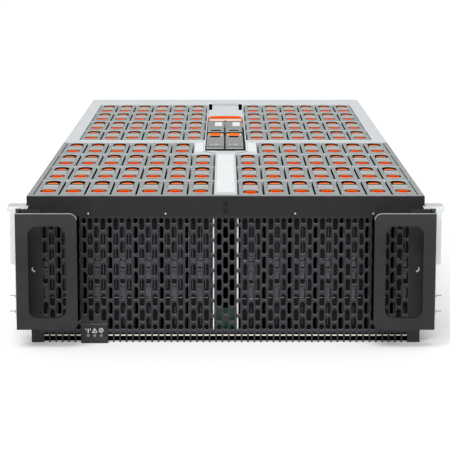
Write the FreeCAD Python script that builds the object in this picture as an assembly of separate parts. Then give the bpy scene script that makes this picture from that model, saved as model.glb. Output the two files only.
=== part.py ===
"""Four-unit top-loading disk shelf, shown open with its lid off.

The shelf lies along Y with its front panel facing -Y. Inside this file Y = 0 is the front
panel's face, Z = 0 the underside of the base pan and X = 0 the middle. Every piece is moved
by ORIGIN_Y when it is written, so that the origin ends up under the middle of the whole shelf.
All lengths are millimetres.
"""
import FreeCAD, Part
import math
import os

V = FreeCAD.Vector

# ---- sheet, boards and clearances --------------------------------------------------------
SHEET = 1.5                  # steel sheet of pan, panel and covers
THIN_SHEET = 1.0             # inner dividers and air channel
SLIDE_GAP = 0.3              # between pieces that move past each other
SEAT_GAP = 0.5               # a module in its opening
BOARD = 2.4
STANDOFF = 2.5
STANDOFF_X = 160.0
STANDOFF_HALF = 5.0
BOARD_MARGIN = 4.0
BOARD_BOTTOM = SHEET + STANDOFF
BOARD_TOP = BOARD_BOTTOM + BOARD

# ---- the drives and their carriers ------------------------------------------------------
DRIVE_WIDTH = 101.6          # a 3.5-inch drive standing on its short end
DRIVE_THICK = 26.1
DRIVE_TALL = 147.0
DRIVE_BEVEL = 3.2
CONNECTOR_ROOM = 5.1         # between the board and a drive
CARRIER_RAIL = 0.7           # sides of a carrier, each side of its drive
CARRIER_GAP = 1.57           # dark gap between two carriers
CARRIER_LENGTH = 112.5
CARRIER_PLATE = 9.0          # thickness of a carrier's top
CARRIER_DROP = 0.5           # carrier tops lie this far under the rim
WELL_FRONT = 19.0            # finger wells, from the carrier's front edge
FRONT_WELL_LENGTH = 30.0
REAR_WELL_LENGTH = 31.0
WELL_WIDTH = 17.0
WELL_DEPTH = 7.0
BRIDGE_FRONT = 51.0          # raised bridge between the two wells
BRIDGE_REAR = 76.0
PAD_LENGTH = 15.0
PAD_BULGE = 6.0
PAD_BULGE_FRONT = 3.0
PAD_TRAVEL = 3.5
PAD_DROP = 0.7
PAD_RAMP_DROP = 5.0
FRONT_PAD_INSET = 8.0        # finger room before the front pad
DRIVE_PITCH = DRIVE_THICK + 2 * CARRIER_RAIL + CARRIER_GAP
CARRIER_WIDTH = DRIVE_PITCH - CARRIER_GAP

# ---- rows, height and depth -------------------------------------------------------------
ROWS_PER_GROUP = 4
FRONT_PER_SIDE = 7
REAR_PER_SIDE = 6
ROW_GAP = 4.5
ROW_PITCH = CARRIER_LENGTH + ROW_GAP
FRONT_ROWS_AT = 12.0         # front edge of row 1
CROSSBAR_LENGTH = 27.0       # between the two groups of rows
CROSSBAR_FRONT = FRONT_ROWS_AT + ROWS_PER_GROUP * ROW_PITCH
REAR_ROWS_AT = CROSSBAR_FRONT + CROSSBAR_LENGTH
REAR_COVER_LENGTH = 82.0
REAR_COVER_AT = REAR_ROWS_AT + ROWS_PER_GROUP * ROW_PITCH + THIN_SHEET
DEPTH = REAR_COVER_AT + REAR_COVER_LENGTH
CARRIER_TOP = BOARD_TOP + CONNECTOR_ROOM + DRIVE_TALL + CARRIER_PLATE
PLATE_BOTTOM = CARRIER_TOP - CARRIER_PLATE
HEIGHT = CARRIER_TOP + CARRIER_DROP
RIM_TOP = HEIGHT             # the lid is off
RIM_UNDER = HEIGHT - SHEET

# ---- middle of the enclosure ------------------------------------------------------------
CHANNEL_HALF = 13.2
CHANNEL_DROP = 0.5
BAY_HALF = 28.6
BAY_INNER = BAY_HALF - THIN_SHEET
BAY_INTO_ROW = 85.0          # the bay reaches this far into row 4
BAY_FRONT = CROSSBAR_FRONT - BAY_INTO_ROW
BAY_SHELF_DROP = 108.0       # shelf under the modules, from the rim
BAY_SHELF_Z = HEIGHT - BAY_SHELF_DROP
BAY_COVER_INTO = 18.0        # the bay is open this far into the rear cover
BAY_REAR_COVER_END = REAR_COVER_AT + BAY_COVER_INTO
COVER_NOTCH = 5.0
COVER_NOTCH_LENGTH = 79.0
COVER_NOTCH_REAR = REAR_COVER_AT - 2 * SHEET
COVER_NOTCH_FRONT = COVER_NOTCH_REAR - COVER_NOTCH_LENGTH
CHANNEL_ROOM = 1.05
BAY_ROOM = 1.4
FRONT_FIRST_X = CHANNEL_HALF + CHANNEL_ROOM    # inner edge of the bays beside the air channel
REAR_FIRST_X = BAY_HALF + BAY_ROOM             # inner edge of the bays beside the module bay

# ---- modules in the bay -----------------------------------------------------------------
MODULE_GAP = 0.8
MODULE_WIDTH = BAY_INNER - SLIDE_GAP - MODULE_GAP / 2
MODULE_LEAD = 13.0
MODULE_FRONT = BAY_FRONT + MODULE_LEAD
MODULE_LOW_LENGTH = 200.0    # lower front part, under the lever
MODULE_STEP = MODULE_FRONT + MODULE_LOW_LENGTH
MODULE_LENGTH = 334.0
MODULE_REAR = MODULE_FRONT + MODULE_LENGTH
MODULE_DROP = 1.0            # module tops lie this far under the rim
MODULE_TOP = HEIGHT - MODULE_DROP
LEVER_THICK = 7.0
LEVER_LEAD = 4.0
LEVER_FRONT = MODULE_FRONT + LEVER_LEAD
LEVER_TAIL_ROOM = 10.0
LEVER_REAR = MODULE_STEP - LEVER_TAIL_ROOM
LEVER_PIN_RADIUS = 1.5
LEVER_PIN_FIT = 0.05
LEVER_PIN_INSET = 6.0
LEVER_PIN_Y = LEVER_FRONT + LEVER_PIN_INSET
LEVER_PIN_Z = MODULE_TOP - LEVER_THICK / 2
LEVER_TAB = 30.0
LEVER_TAB_THIN = 1.5
LUG_THICK = 2.0
LUG_HALF = 4.0
FINGER_SLOT = 10.0
FINGER_SLOT_FROM_TIP = 48.0
FINGER_SLOT_FRONT = LEVER_REAR - FINGER_SLOT_FROM_TIP
FINGER_SLOT_WALL = 3.0
BORE_SIDES = 12
PULL_BAR_ROOM = 28.0
PULL_BAR_FRONT = MODULE_REAR + PULL_BAR_ROOM
PULL_BAR_LENGTH = 40.0
PULL_BAR_REAR = PULL_BAR_FRONT + PULL_BAR_LENGTH
PULL_BAR_SHELF = 1.5
PULL_BAR_BLADE = 4.0
PULL_BAR_DROP = 5.4          # underside of the bar, from the rim
PULL_BAR_HEEL = 2.6
PULL_BAR_PIN_RADIUS = 1.2
PULL_BAR_PIN_Y = PULL_BAR_REAR - PULL_BAR_HEEL
PULL_BAR_PIN_Z = RIM_TOP - PULL_BAR_DROP + PULL_BAR_HEEL

# ---- width of the enclosure -------------------------------------------------------------
RIM_WIDTH = 5.76
RIM_INNER_X = FRONT_FIRST_X + FRONT_PER_SIDE * DRIVE_PITCH
PANEL_HALF = RIM_INNER_X + RIM_WIDTH
WALL_INSET = 3.0             # side walls stand this far inside the panel's edges
WALL_OUTER = PANEL_HALF - WALL_INSET
WALL_INNER = WALL_OUTER - SHEET
STRIP_ROOM = 0.2
STRIP_INNER_X = REAR_FIRST_X + REAR_PER_SIDE * DRIVE_PITCH + STRIP_ROOM
STRIP_TALL = 16.0
TOP_RAIL_LEG = 14.0
CROSSBAR_TALL = 20.0
REAR_COVER_LEG = 12.0
DIVIDER_CAP = 4.2
SILL_AT = 9.0                # low upright lip of the pan behind the comb
SILL_TALL = 8.0

# ---- front panel ------------------------------------------------------------------------
SLOT_WIDTH = 5.4
SLOT_WEB = 3.15
SLOTS_PER_COLUMN = 7
SLOT_PITCH_X = DRIVE_PITCH / 4
GRILLE_COLUMNS_PER_SIDE = 4 * FRONT_PER_SIDE
GRILLE_TOP_MARGIN = 24.9     # plain band over the slots
GRILLE_BOTTOM_MARGIN = 20.95
SLOT_PITCH_Z = (HEIGHT - GRILLE_TOP_MARGIN - GRILLE_BOTTOM_MARGIN) / SLOTS_PER_COLUMN
SLOT_LENGTH = SLOT_PITCH_Z - SLOT_WEB
COLUMN_STAGGER = 9.3         # every second column starts this much lower
COMB_NOTCH = 10.8            # open notches along the panel's lower edge
CORNER_STEP = 15.0           # lower corners step in up to this height
BRACKET_NOTCH_TOP = 11.0     # angled nick in each panel edge
BRACKET_NOTCH = 4.0

# ---- indicator panel --------------------------------------------------------------------
INDICATOR_FROM_EDGE = 74.75
INDICATOR_X = INDICATOR_FROM_EDGE - PANEL_HALF
INDICATOR_WIDTH = 30.3
INDICATOR_TALL = 22.7
INDICATOR_PROUD = 2.2
INDICATOR_LIP = 3.0
INDICATOR_LIP_TALL = 4.0
LIGHT_RADIUS = 1.25
LIGHT_PITCH = 7.3
LIGHT_Z = 9.0
LIGHT_PROUD = 0.3
LIGHT_LENGTH = 10.0
LIGHT_FIT = 0.05
LIGHT_SIDES = 8

# ---- handles ----------------------------------------------------------------------------
HANDLE_OVERHANG = 9.6
HANDLE_OUTER_X = PANEL_HALF + HANDLE_OVERHANG
HANDLE_WIDTH = 68.2
HANDLE_BOTTOM = 22.5
HANDLE_TOP_DROP = 14.5
HANDLE_TALL = HEIGHT - HANDLE_TOP_DROP - HANDLE_BOTTOM
HANDLE_REACH = 35.0
HANDLE_SHEET = 2.0
HANDLE_CORNER = 8.0
WINDOW_OUTER_MARGIN = 13.8
WINDOW_WIDTH = 41.7
WINDOW_SILL = 13.3
WINDOW_HEAD = 13.7
WINDOW_TALL = HANDLE_TALL - WINDOW_SILL - WINDOW_HEAD
WINDOW_CORNER = 10.0
HANDLE_FOOT = 25.0

# ---- rear modules -----------------------------------------------------------------------
SUPPLY_LEVELS = 4            # two power supplies with two I/O modules over them
SUPPLY_SIDE_ROOM = 0.35
SUPPLY_WIDTH = 2 * (BAY_INNER - SUPPLY_SIDE_ROOM)
SUPPLY_BEHIND_BAY = 16.0
SUPPLY_LENGTH = DEPTH - MODULE_REAR - SUPPLY_BEHIND_BAY
SUPPLY_BASE_LIFT = 0.4
SUPPLY_TOP_ROOM = 4.1
SUPPLY_PITCH = (RIM_UNDER - SUPPLY_TOP_ROOM - BOARD_TOP - SUPPLY_BASE_LIFT) / SUPPLY_LEVELS
SUPPLY_TALL = SUPPLY_PITCH - SEAT_GAP
INLET_WIDTH = 27.0
INLET_TALL = 20.0
INLET_DEPTH = 16.0
INLET_MARGIN = 3.0
INLET_CORE = (16.0, 10.0)    # tongue inside the inlet
GRIP_REACH = 24.0
GRIP_BAR = 4.0
GRIP_CORNER = 5.0
GRIP_INSET = 3.0
LEVER_LENGTH = 44.0
LEVER_TALL = 9.0
LEVER_BASE = 5.0
LEVER_TIP = 7.0
REAR_LEVER_THICK = 4.0
EAR_THICK = 2.0
EAR_HALF = 3.5
REAR_PIN_INSET = 5.0
REAR_LEVER_PIN = (REAR_PIN_INSET - SUPPLY_WIDTH / 2, DEPTH + REAR_PIN_INSET)
FAN_SIDE_ROOM = 2.2
FAN_MODULE_WIDTH = (WALL_INNER - BAY_HALF) / 2 - FAN_SIDE_ROOM
FAN_BOTTOM = SHEET + SLIDE_GAP
FAN_TOP_ROOM = 2.7
FAN_MODULE_TALL = RIM_UNDER - FAN_TOP_ROOM - FAN_BOTTOM
FAN_MODULE_LENGTH = 70.0
FAN_BORE = 43.0
FAN_TIP_GAP = 1.5
FAN_HUB = 18.0
FAN_SIDES = 12
FAN_BLADES = 5
FAN_BLADE_THICK = 1.6
FAN_BLADE_DEEP = 26.0
FAN_BLADE_PITCH = 42.0
FAN_SHAFT = 2.5
FAN_SHAFT_FIT = 0.05
FAN_STRUT = 4.0
FAN_STRUT_THICK = 4.0

# ---- rack rails -------------------------------------------------------------------------
RAIL_BOTTOM = 52.0
RAIL_TALL = 60.0
RAIL_FRONT = 6.0
RAIL_LENGTH = 760.0
RAIL_LEAD = 30.0             # thicker front end of a rail's channel
FLANGE_REACH = 14.5          # steps of the flange, from the panel's edge
STRIP_REACH = 19.5
LUG_REACH = 22.5
FLANGE_INSET = 4.0
FLANGE_BOTTOM = HANDLE_BOTTOM + FLANGE_INSET
FLANGE_TALL = 63.5
FLANGE_TOP_ROOM = 1.0
FLANGE_TOP = HEIGHT - BRACKET_NOTCH_TOP - FLANGE_TOP_ROOM
LUG_TALL = 6.0
RACK_HOLE_REACH = 9.05
RACK_HOLE_X = PANEL_HALF + RACK_HOLE_REACH
RACK_HOLE_RADIUS = 3.5
RACK_HOLE_SPACING = 88.9
RACK_HOLE_LOW_Z = 39.0

# ---- screws -----------------------------------------------------------------------------
SCREW_HEAD = 2.6
SCREW_SIDES = 8
SCREW_PROUD = 1.2
SCREW_DROPS = (8.0, 16.7)    # from the top of the panel

# ---- place of the origin ----------------------------------------------------------------
ORIGIN_Y = (DEPTH + GRIP_REACH - HANDLE_REACH) / 2


# ---- building blocks --------------------------------------------------------------------
def box(x, y, z):
    """A block between two X, two Y and two Z values."""
    size = V(x[1] - x[0], y[1] - y[0], z[1] - z[0])
    return Part.makeBox(size.x, size.y, size.z, V(x[0], y[0], z[0]))


def face(points):
    """A flat face inside one closed outline."""
    return Part.Face(Part.makePolygon(points + [points[0]]))


def along_x(outline, start, end):
    """A (y, z) outline drawn out along X."""
    return face([V(start, y, z) for y, z in outline]).extrude(V(end - start, 0, 0))


def along_y(outline, start, end):
    """An (x, z) outline drawn out along Y."""
    return face([V(x, start, z) for x, z in outline]).extrude(V(0, end - start, 0))


def along_z(outline, start, end):
    """An (x, y) outline drawn out along Z."""
    return face([V(x, y, start) for x, y in outline]).extrude(V(0, 0, end - start))


def rod_x(radius, start, end, y, z):
    return Part.makeCylinder(radius, end - start, V(start, y, z), V(1, 0, 0))


def rod_y(radius, start, end, x, z):
    return Part.makeCylinder(radius, end - start, V(x, start, z), V(0, 1, 0))


def rod_z(radius, start, end, x, y):
    return Part.makeCylinder(radius, end - start, V(x, y, start), V(0, 0, 1))


def round_points(radius, sides, a, b):
    """Corners of a regular outline round a point of a plane."""
    step = 2 * math.pi / sides
    return [
        (a + radius * math.cos(step * (i + 0.5)), b + radius * math.sin(step * (i + 0.5)))
        for i in range(sides)
    ]


def bore_radius(radius, fit, sides):
    """Corner radius of a many-sided bore whose flats clear a pin by the fit."""
    return (radius + fit) / math.cos(math.pi / sides)


def mirrored(shape):
    """The same piece for the other side of the shelf."""
    return shape.mirror(V(0, 0, 0), V(1, 0, 0))


def both_sides(shape):
    return Part.makeCompound([shape, mirrored(shape)])


# ---- sheet metal ------------------------------------------------------------------------
def standoffs():
    """Pressed bosses of the base pan that hold the boards off the floor."""
    posts = []
    for start in (FRONT_ROWS_AT, REAR_ROWS_AT):
        for row in (0.5, ROWS_PER_GROUP - 0.5):
            y = start + row * ROW_PITCH
            for x in (-STANDOFF_X, STANDOFF_X):
                spot = ((x - STANDOFF_HALF, x + STANDOFF_HALF), (y - STANDOFF_HALF, y + STANDOFF_HALF))
                posts.append(box(*spot, (SHEET, BOARD_BOTTOM)))
    return posts


def base_pan():
    """Floor and side walls in one sheet, with a flange turned out along each top edge."""
    outline = [
        (-WALL_OUTER, 0), (WALL_OUTER, 0), (WALL_OUTER, RIM_UNDER), (PANEL_HALF, RIM_UNDER),
        (PANEL_HALF, RIM_TOP), (RIM_INNER_X, RIM_TOP), (RIM_INNER_X, RIM_UNDER),
        (WALL_INNER, RIM_UNDER), (WALL_INNER, SHEET), (-WALL_INNER, SHEET),
        (-WALL_INNER, RIM_UNDER), (-RIM_INNER_X, RIM_UNDER), (-RIM_INNER_X, RIM_TOP),
        (-PANEL_HALF, RIM_TOP), (-PANEL_HALF, RIM_UNDER), (-WALL_OUTER, RIM_UNDER),
    ]
    pan = along_y(outline, SHEET, DEPTH - SHEET)
    # the flange stops where the front rail, the crossbar and the rear covers lie on the walls
    for start, end in (
        (0, FRONT_ROWS_AT),
        (CROSSBAR_FRONT, DEPTH),
    ):
        pan = pan.cut(box((-PANEL_HALF, PANEL_HALF), (start, end), (RIM_UNDER, RIM_TOP)))
    sill = box((-WALL_INNER, WALL_INNER), (SILL_AT, SILL_AT + THIN_SHEET), (SHEET, SHEET + SILL_TALL))
    return pan.fuse(standoffs() + [sill]).removeSplitter()


def slot_wire(x, top):
    """Outline of one panel slot that hangs down from a height."""
    half = SLOT_WIDTH / 2
    corners = [
        V(x - half, 0, top), V(x + half, 0, top),
        V(x + half, 0, top - SLOT_LENGTH), V(x - half, 0, top - SLOT_LENGTH),
    ]
    return Part.makePolygon(corners + [corners[0]])


def over_indicator(x):
    return abs(x - INDICATOR_X) < INDICATOR_WIDTH / 2


def column_slots(index):
    """Slots of one column: odd columns start high, even ones about half a pitch lower."""
    x = index * SLOT_PITCH_X
    top = HEIGHT - GRILLE_TOP_MARGIN - (0 if index % 2 else COLUMN_STAGGER)
    lowest = INDICATOR_TALL if over_indicator(x) else 0
    starts = [top - i * SLOT_PITCH_Z for i in range(SLOTS_PER_COLUMN)]
    return [slot_wire(x, start) for start in starts if start - SLOT_LENGTH > lowest]


def panel_outline():
    """Edge of the front panel with its stepped lower corners and its comb of open notches."""
    half_slot = SLOT_WIDTH / 2
    nick_top = HEIGHT - BRACKET_NOTCH_TOP
    nick = [
        (PANEL_HALF, nick_top - BRACKET_NOTCH), (PANEL_HALF - BRACKET_NOTCH / 2, nick_top),
        (PANEL_HALF, nick_top),
    ]
    right = [(WALL_OUTER, 0), (WALL_OUTER, CORNER_STEP), (PANEL_HALF, CORNER_STEP)] + nick
    right.append((PANEL_HALF, RIM_UNDER))
    left = [(-x, z) for x, z in reversed(right)]
    comb = []
    for index in range(-GRILLE_COLUMNS_PER_SIDE, GRILLE_COLUMNS_PER_SIDE + 1):
        x = index * SLOT_PITCH_X
        if not over_indicator(x):
            comb += [(x - half_slot, 0), (x - half_slot, COMB_NOTCH)]
            comb += [(x + half_slot, COMB_NOTCH), (x + half_slot, 0)]
    return right + left + comb


def front_grille():
    """Flat front panel: a staggered field of slots, one column per quarter drive pitch."""
    outline = [V(x, 0, z) for x, z in panel_outline()]
    wires = [Part.makePolygon(outline + [outline[0]])]
    for index in range(-GRILLE_COLUMNS_PER_SIDE, GRILLE_COLUMNS_PER_SIDE + 1):
        wires += column_slots(index)
    half = LIGHT_PITCH + LIGHT_RADIUS + SEAT_GAP
    low, high = LIGHT_Z - LIGHT_RADIUS - SEAT_GAP, LIGHT_Z + LIGHT_RADIUS + SEAT_GAP
    window = [V(INDICATOR_X + i * half, 0, z) for i, z in ((-1, low), (1, low), (1, high), (-1, high))]
    wires.append(Part.makePolygon(window + [window[0]]))
    sheet = Part.makeFace(wires, "Part::FaceMakerBullseye")
    return sheet.extrude(V(0, SHEET, 0))


def light_places():
    return [INDICATOR_X + LIGHT_PITCH * i for i in (-1, 0, 1)]


def indicator_panel():
    """Moulded cover over the status lights, with a lip along its lower edge."""
    half = INDICATOR_WIDTH / 2
    side = [
        (0, 0), (0, INDICATOR_TALL), (-INDICATOR_PROUD * 0.4, INDICATOR_TALL),
        (-INDICATOR_PROUD, INDICATOR_TALL - INDICATOR_PROUD),
        (-INDICATOR_PROUD, INDICATOR_LIP_TALL + INDICATOR_LIP),
        (-INDICATOR_PROUD - INDICATOR_LIP, INDICATOR_LIP_TALL), (-INDICATOR_PROUD - INDICATOR_LIP, 0),
    ]
    cover = along_x(side, INDICATOR_X - half, INDICATOR_X + half)
    bore = bore_radius(LIGHT_RADIUS, LIGHT_FIT, LIGHT_SIDES)
    for x in light_places():
        outline = round_points(bore, LIGHT_SIDES, x, LIGHT_Z)
        cover = cover.cut(along_y(outline, -INDICATOR_PROUD - INDICATOR_LIP, 0))
    return cover


def indicator_lights():
    """Light pipes that pass through the panel and stand just proud of the cover."""
    front = -INDICATOR_PROUD - LIGHT_PROUD
    pipes = []
    for x in light_places():
        outline = round_points(LIGHT_RADIUS, LIGHT_SIDES, x, LIGHT_Z)
        pipes.append(along_y(outline, front, front + LIGHT_LENGTH))
    return Part.makeCompound(pipes)


def rounded(x, z, radii, y, depth):
    """A plate in the XZ plane with a radius at each corner, from the lower left one round."""
    corners = [(x[0], z[0]), (x[1], z[0]), (x[1], z[1]), (x[0], z[1])]
    inward = [(1, 1), (-1, 1), (-1, -1), (1, -1)]
    starts = [(0, 1), (-1, 0), (0, -1), (1, 0)]
    ends = [(1, 0), (0, 1), (-1, 0), (0, -1)]
    edges, first, last = [], None, None
    for (cx, cz), (ix, iz), (sx, sz), (ex, ez), r in zip(corners, inward, starts, ends, radii):
        start = V(cx + sx * r, y, cz + sz * r)
        end = V(cx + ex * r, y, cz + ez * r)
        if last is not None:
            edges.append(Part.LineSegment(last, start).toShape())
        if r:
            bend = r * (1 - math.sqrt(0.5))
            middle = V(cx + ix * bend, y, cz + iz * bend)
            edges.append(Part.Arc(start, middle, end).toShape())
        first = first or start
        last = end
    edges.append(Part.LineSegment(last, first).toShape())
    return Part.Face(Part.Wire(edges)).extrude(V(0, depth, 0))


def right_handle():
    """One bent plate: a grip with a hand window, a return at its outer edge and a foot."""
    inner = HANDLE_OUTER_X - HANDLE_WIDTH
    z = (HANDLE_BOTTOM, HANDLE_BOTTOM + HANDLE_TALL)
    grip = rounded((inner, HANDLE_OUTER_X), z, (HANDLE_CORNER, 0, 0, HANDLE_CORNER),
                   -HANDLE_REACH, HANDLE_SHEET)
    window_outer = HANDLE_OUTER_X - WINDOW_OUTER_MARGIN
    sill = HANDLE_BOTTOM + WINDOW_SILL
    window = rounded((window_outer - WINDOW_WIDTH, window_outer), (sill, sill + WINDOW_TALL),
                     (WINDOW_CORNER,) * 4, -HANDLE_REACH, HANDLE_SHEET)
    side = box((HANDLE_OUTER_X - HANDLE_SHEET, HANDLE_OUTER_X), (-HANDLE_REACH, 0), z)
    foot = box((HANDLE_OUTER_X - HANDLE_FOOT, HANDLE_OUTER_X), (-HANDLE_SHEET, 0), z)
    return grip.cut(window).fuse([side, foot]).removeSplitter()


def front_top_rail():
    """Angle along the top of the front panel: a light flange and a leg behind the panel."""
    side = [
        (0, RIM_UNDER), (SHEET, RIM_UNDER), (SHEET, RIM_UNDER - TOP_RAIL_LEG),
        (2 * SHEET, RIM_UNDER - TOP_RAIL_LEG), (2 * SHEET, RIM_UNDER),
        (FRONT_ROWS_AT, RIM_UNDER), (FRONT_ROWS_AT, RIM_TOP), (0, RIM_TOP),
    ]
    rail = along_x(side, -PANEL_HALF, PANEL_HALF)
    # the leg stays between the side walls
    for sign in (-1, 1):
        ends = sorted((sign * (WALL_INNER - SEAT_GAP), sign * PANEL_HALF))
        rail = rail.cut(box(ends, (SHEET, 2 * SHEET), (0, RIM_UNDER)))
    return rail


def divider(line, inner, outer):
    """Cross wall between two rows of drives, with its cap turned back at the top."""
    half = DIVIDER_CAP / 2
    top = RIM_TOP
    side = [
        (line - half, top - THIN_SHEET), (line - half, top), (line + half, top),
        (line + half, top - THIN_SHEET), (line + THIN_SHEET / 2, top - THIN_SHEET),
        (line + THIN_SHEET / 2, BOARD_TOP), (line - THIN_SHEET / 2, BOARD_TOP),
        (line - THIN_SHEET / 2, top - THIN_SHEET),
    ]
    return along_x(side, inner, outer)


def dividers(start, inner, outer):
    """The cross walls of one group of rows, left and right of the middle."""
    walls = []
    for row in range(1, ROWS_PER_GROUP):
        wall = divider(start + row * ROW_PITCH - DIVIDER_CAP / 2, inner, outer)
        walls += [wall, mirrored(wall)]
    return walls


def front_dividers():
    """Row walls of the front group, from the air channel to the side flanges."""
    return Part.makeCompound(dividers(FRONT_ROWS_AT, CHANNEL_HALF, RIM_INNER_X))


def rear_dividers():
    """Row walls of the rear group, from the module bay to the raised side strips."""
    return Part.makeCompound(dividers(REAR_ROWS_AT, BAY_HALF, STRIP_INNER_X))


def mid_crossbar():
    """Channel across the shelf between the two groups of rows, cut through by the bay."""
    start, end = CROSSBAR_FRONT, REAR_ROWS_AT
    side = [
        (start, HEIGHT - CROSSBAR_TALL), (start + SHEET, HEIGHT - CROSSBAR_TALL),
        (start + SHEET, RIM_UNDER), (end - SHEET, RIM_UNDER),
        (end - SHEET, HEIGHT - CROSSBAR_TALL), (end, HEIGHT - CROSSBAR_TALL),
        (end, RIM_TOP), (start, RIM_TOP),
    ]
    bar = along_x(side, BAY_HALF, WALL_INNER)
    end_cap = box((WALL_INNER, PANEL_HALF), (start, end), (RIM_UNDER, RIM_TOP))
    return both_sides(bar.fuse(end_cap).removeSplitter())


def rear_side_strips():
    """Raised covers along both sides of the rear group, each a channel open underneath."""
    low = HEIGHT - STRIP_TALL
    outline = [
        (STRIP_INNER_X, low), (STRIP_INNER_X + THIN_SHEET, low),
        (STRIP_INNER_X + THIN_SHEET, RIM_UNDER), (PANEL_HALF, RIM_UNDER),
        (PANEL_HALF, RIM_TOP), (STRIP_INNER_X, RIM_TOP),
    ]
    return both_sides(along_y(outline, REAR_ROWS_AT, REAR_COVER_AT))


def rear_top_cover():
    """Fixed cover over the fans, turned down at its front edge, with a notch for the bay."""
    side = [
        (REAR_COVER_AT, RIM_UNDER - REAR_COVER_LEG), (REAR_COVER_AT + SHEET, RIM_UNDER - REAR_COVER_LEG),
        (REAR_COVER_AT + SHEET, RIM_UNDER), (DEPTH, RIM_UNDER), (DEPTH, RIM_TOP),
        (REAR_COVER_AT, RIM_TOP),
    ]
    cover = along_x(side, -PANEL_HALF, PANEL_HALF)
    notch = box((-BAY_HALF, BAY_HALF), (REAR_COVER_AT, BAY_REAR_COVER_END), (0, RIM_TOP))
    cover = cover.cut(notch)
    for sign in (-1, 1):
        ends = sorted((sign * (WALL_INNER - SEAT_GAP), sign * PANEL_HALF))
        cover = cover.cut(box(ends, (REAR_COVER_AT, REAR_COVER_AT + SHEET), (0, RIM_UNDER)))
    return cover


def center_channel():
    """Open air channel from the panel to the module bay: two walls and a top strip."""
    inner = CHANNEL_HALF - THIN_SHEET
    top = RIM_TOP - CHANNEL_DROP
    outline = [
        (-CHANNEL_HALF, BOARD_TOP), (-inner, BOARD_TOP), (-inner, top - THIN_SHEET),
        (inner, top - THIN_SHEET), (inner, BOARD_TOP), (CHANNEL_HALF, BOARD_TOP),
        (CHANNEL_HALF, top), (-CHANNEL_HALF, top),
    ]
    return along_y(outline, FRONT_ROWS_AT, BAY_FRONT - SLIDE_GAP)


def expander_bay():
    """Long bay for the modules: two walls, a shelf for the front pair and a front wall."""
    wall = box((BAY_INNER, BAY_HALF), (BAY_FRONT, DEPTH - SHEET), (BOARD_TOP, RIM_TOP))
    over_cover = box((0, BAY_HALF), (BAY_REAR_COVER_END, DEPTH), (RIM_UNDER, RIM_TOP))
    wall = wall.cut(over_cover)
    shelf = box((-BAY_INNER, BAY_INNER), (BAY_FRONT, MODULE_REAR), (BAY_SHELF_Z - THIN_SHEET, BAY_SHELF_Z))
    front = box((-BAY_INNER, BAY_INNER), (BAY_FRONT, BAY_FRONT + THIN_SHEET),
                (BOARD_TOP, MODULE_TOP))
    air = box((-CHANNEL_HALF, CHANNEL_HALF), (BAY_FRONT, BAY_FRONT + THIN_SHEET),
              (BOARD_TOP, BAY_SHELF_Z - 2 * THIN_SHEET))
    back = box((-BAY_INNER, BAY_INNER), (MODULE_REAR, MODULE_REAR + THIN_SHEET),
               (BOARD_TOP, RIM_TOP - PULL_BAR_DROP))
    bay = wall.fuse([mirrored(wall), shelf, front.cut(air), back]).removeSplitter()
    bore = bore_radius(PULL_BAR_PIN_RADIUS, LEVER_PIN_FIT, BORE_SIDES)
    outline = round_points(bore, BORE_SIDES, PULL_BAR_PIN_Y, PULL_BAR_PIN_Z)
    return bay.cut(along_x(outline, -BAY_HALF, BAY_HALF))


def filler_plates():
    """Covers of the two narrow gaps beside the bay in row 4."""
    start = FRONT_ROWS_AT + (ROWS_PER_GROUP - 1) * ROW_PITCH
    inner = BAY_HALF
    outer = FRONT_FIRST_X + DRIVE_PITCH - CARRIER_GAP / 2 - SEAT_GAP
    outline = [
        (inner, BOARD_TOP), (inner + THIN_SHEET, BOARD_TOP), (inner + THIN_SHEET, CARRIER_TOP - THIN_SHEET),
        (outer - THIN_SHEET, CARRIER_TOP - THIN_SHEET), (outer - THIN_SHEET, BOARD_TOP),
        (outer, BOARD_TOP), (outer, CARRIER_TOP), (inner, CARRIER_TOP),
    ]
    return both_sides(along_y(outline, start + SEAT_GAP, CROSSBAR_FRONT - SEAT_GAP))


def board(start):
    """A backplane on its bosses, under one group of rows."""
    half = WALL_INNER - BOARD_MARGIN
    end = start + ROWS_PER_GROUP * ROW_PITCH - DIVIDER_CAP
    return box((-half, half), (start, end), (BOARD_BOTTOM, BOARD_TOP))


def rear_frame():
    """Rear panel with an opening for each pair of fan modules and one for the stack of four."""
    y = (DEPTH - SHEET, DEPTH)
    plate = box((-WALL_OUTER, WALL_OUTER), y, (0, RIM_UNDER))
    z = (FAN_BOTTOM - SLIDE_GAP, FAN_BOTTOM + FAN_MODULE_TALL + SLIDE_GAP)
    half = FAN_MODULE_WIDTH / 2 + SLIDE_GAP
    for first, last in (fan_places()[:2], fan_places()[2:]):
        plate = plate.cut(box((first - half, last + half), y, z))
    half = SUPPLY_WIDTH / 2 + SLIDE_GAP
    top = supply_bottom(SUPPLY_LEVELS - 1) + SUPPLY_TALL + SLIDE_GAP
    return plate.cut(box((-half, half), y, (supply_bottom(0) - SLIDE_GAP, top)))


# ---- drives -----------------------------------------------------------------------------
def bay_center(group_first_x, index):
    return group_first_x + (index + 0.5) * DRIVE_PITCH


def row_front(row):
    """Front edge of the carriers of a row, counted from 1 at the front panel."""
    if row > ROWS_PER_GROUP:
        return REAR_ROWS_AT + (row - ROWS_PER_GROUP - 1) * ROW_PITCH
    return FRONT_ROWS_AT + (row - 1) * ROW_PITCH


def row_centers(row):
    """X of every drive of a row, right side first and then its mirror image."""
    if row > ROWS_PER_GROUP:
        right = [bay_center(REAR_FIRST_X, i) for i in range(REAR_PER_SIDE)]
    else:
        first = 1 if row == ROWS_PER_GROUP else 0
        right = [bay_center(FRONT_FIRST_X, i) for i in range(first, FRONT_PER_SIDE)]
    return right + [-x for x in right]


LIFTED = {
    "a": (1, -bay_center(FRONT_FIRST_X, 0)),
    "b": (ROWS_PER_GROUP + 1, bay_center(REAR_FIRST_X, 0)),
}


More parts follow.
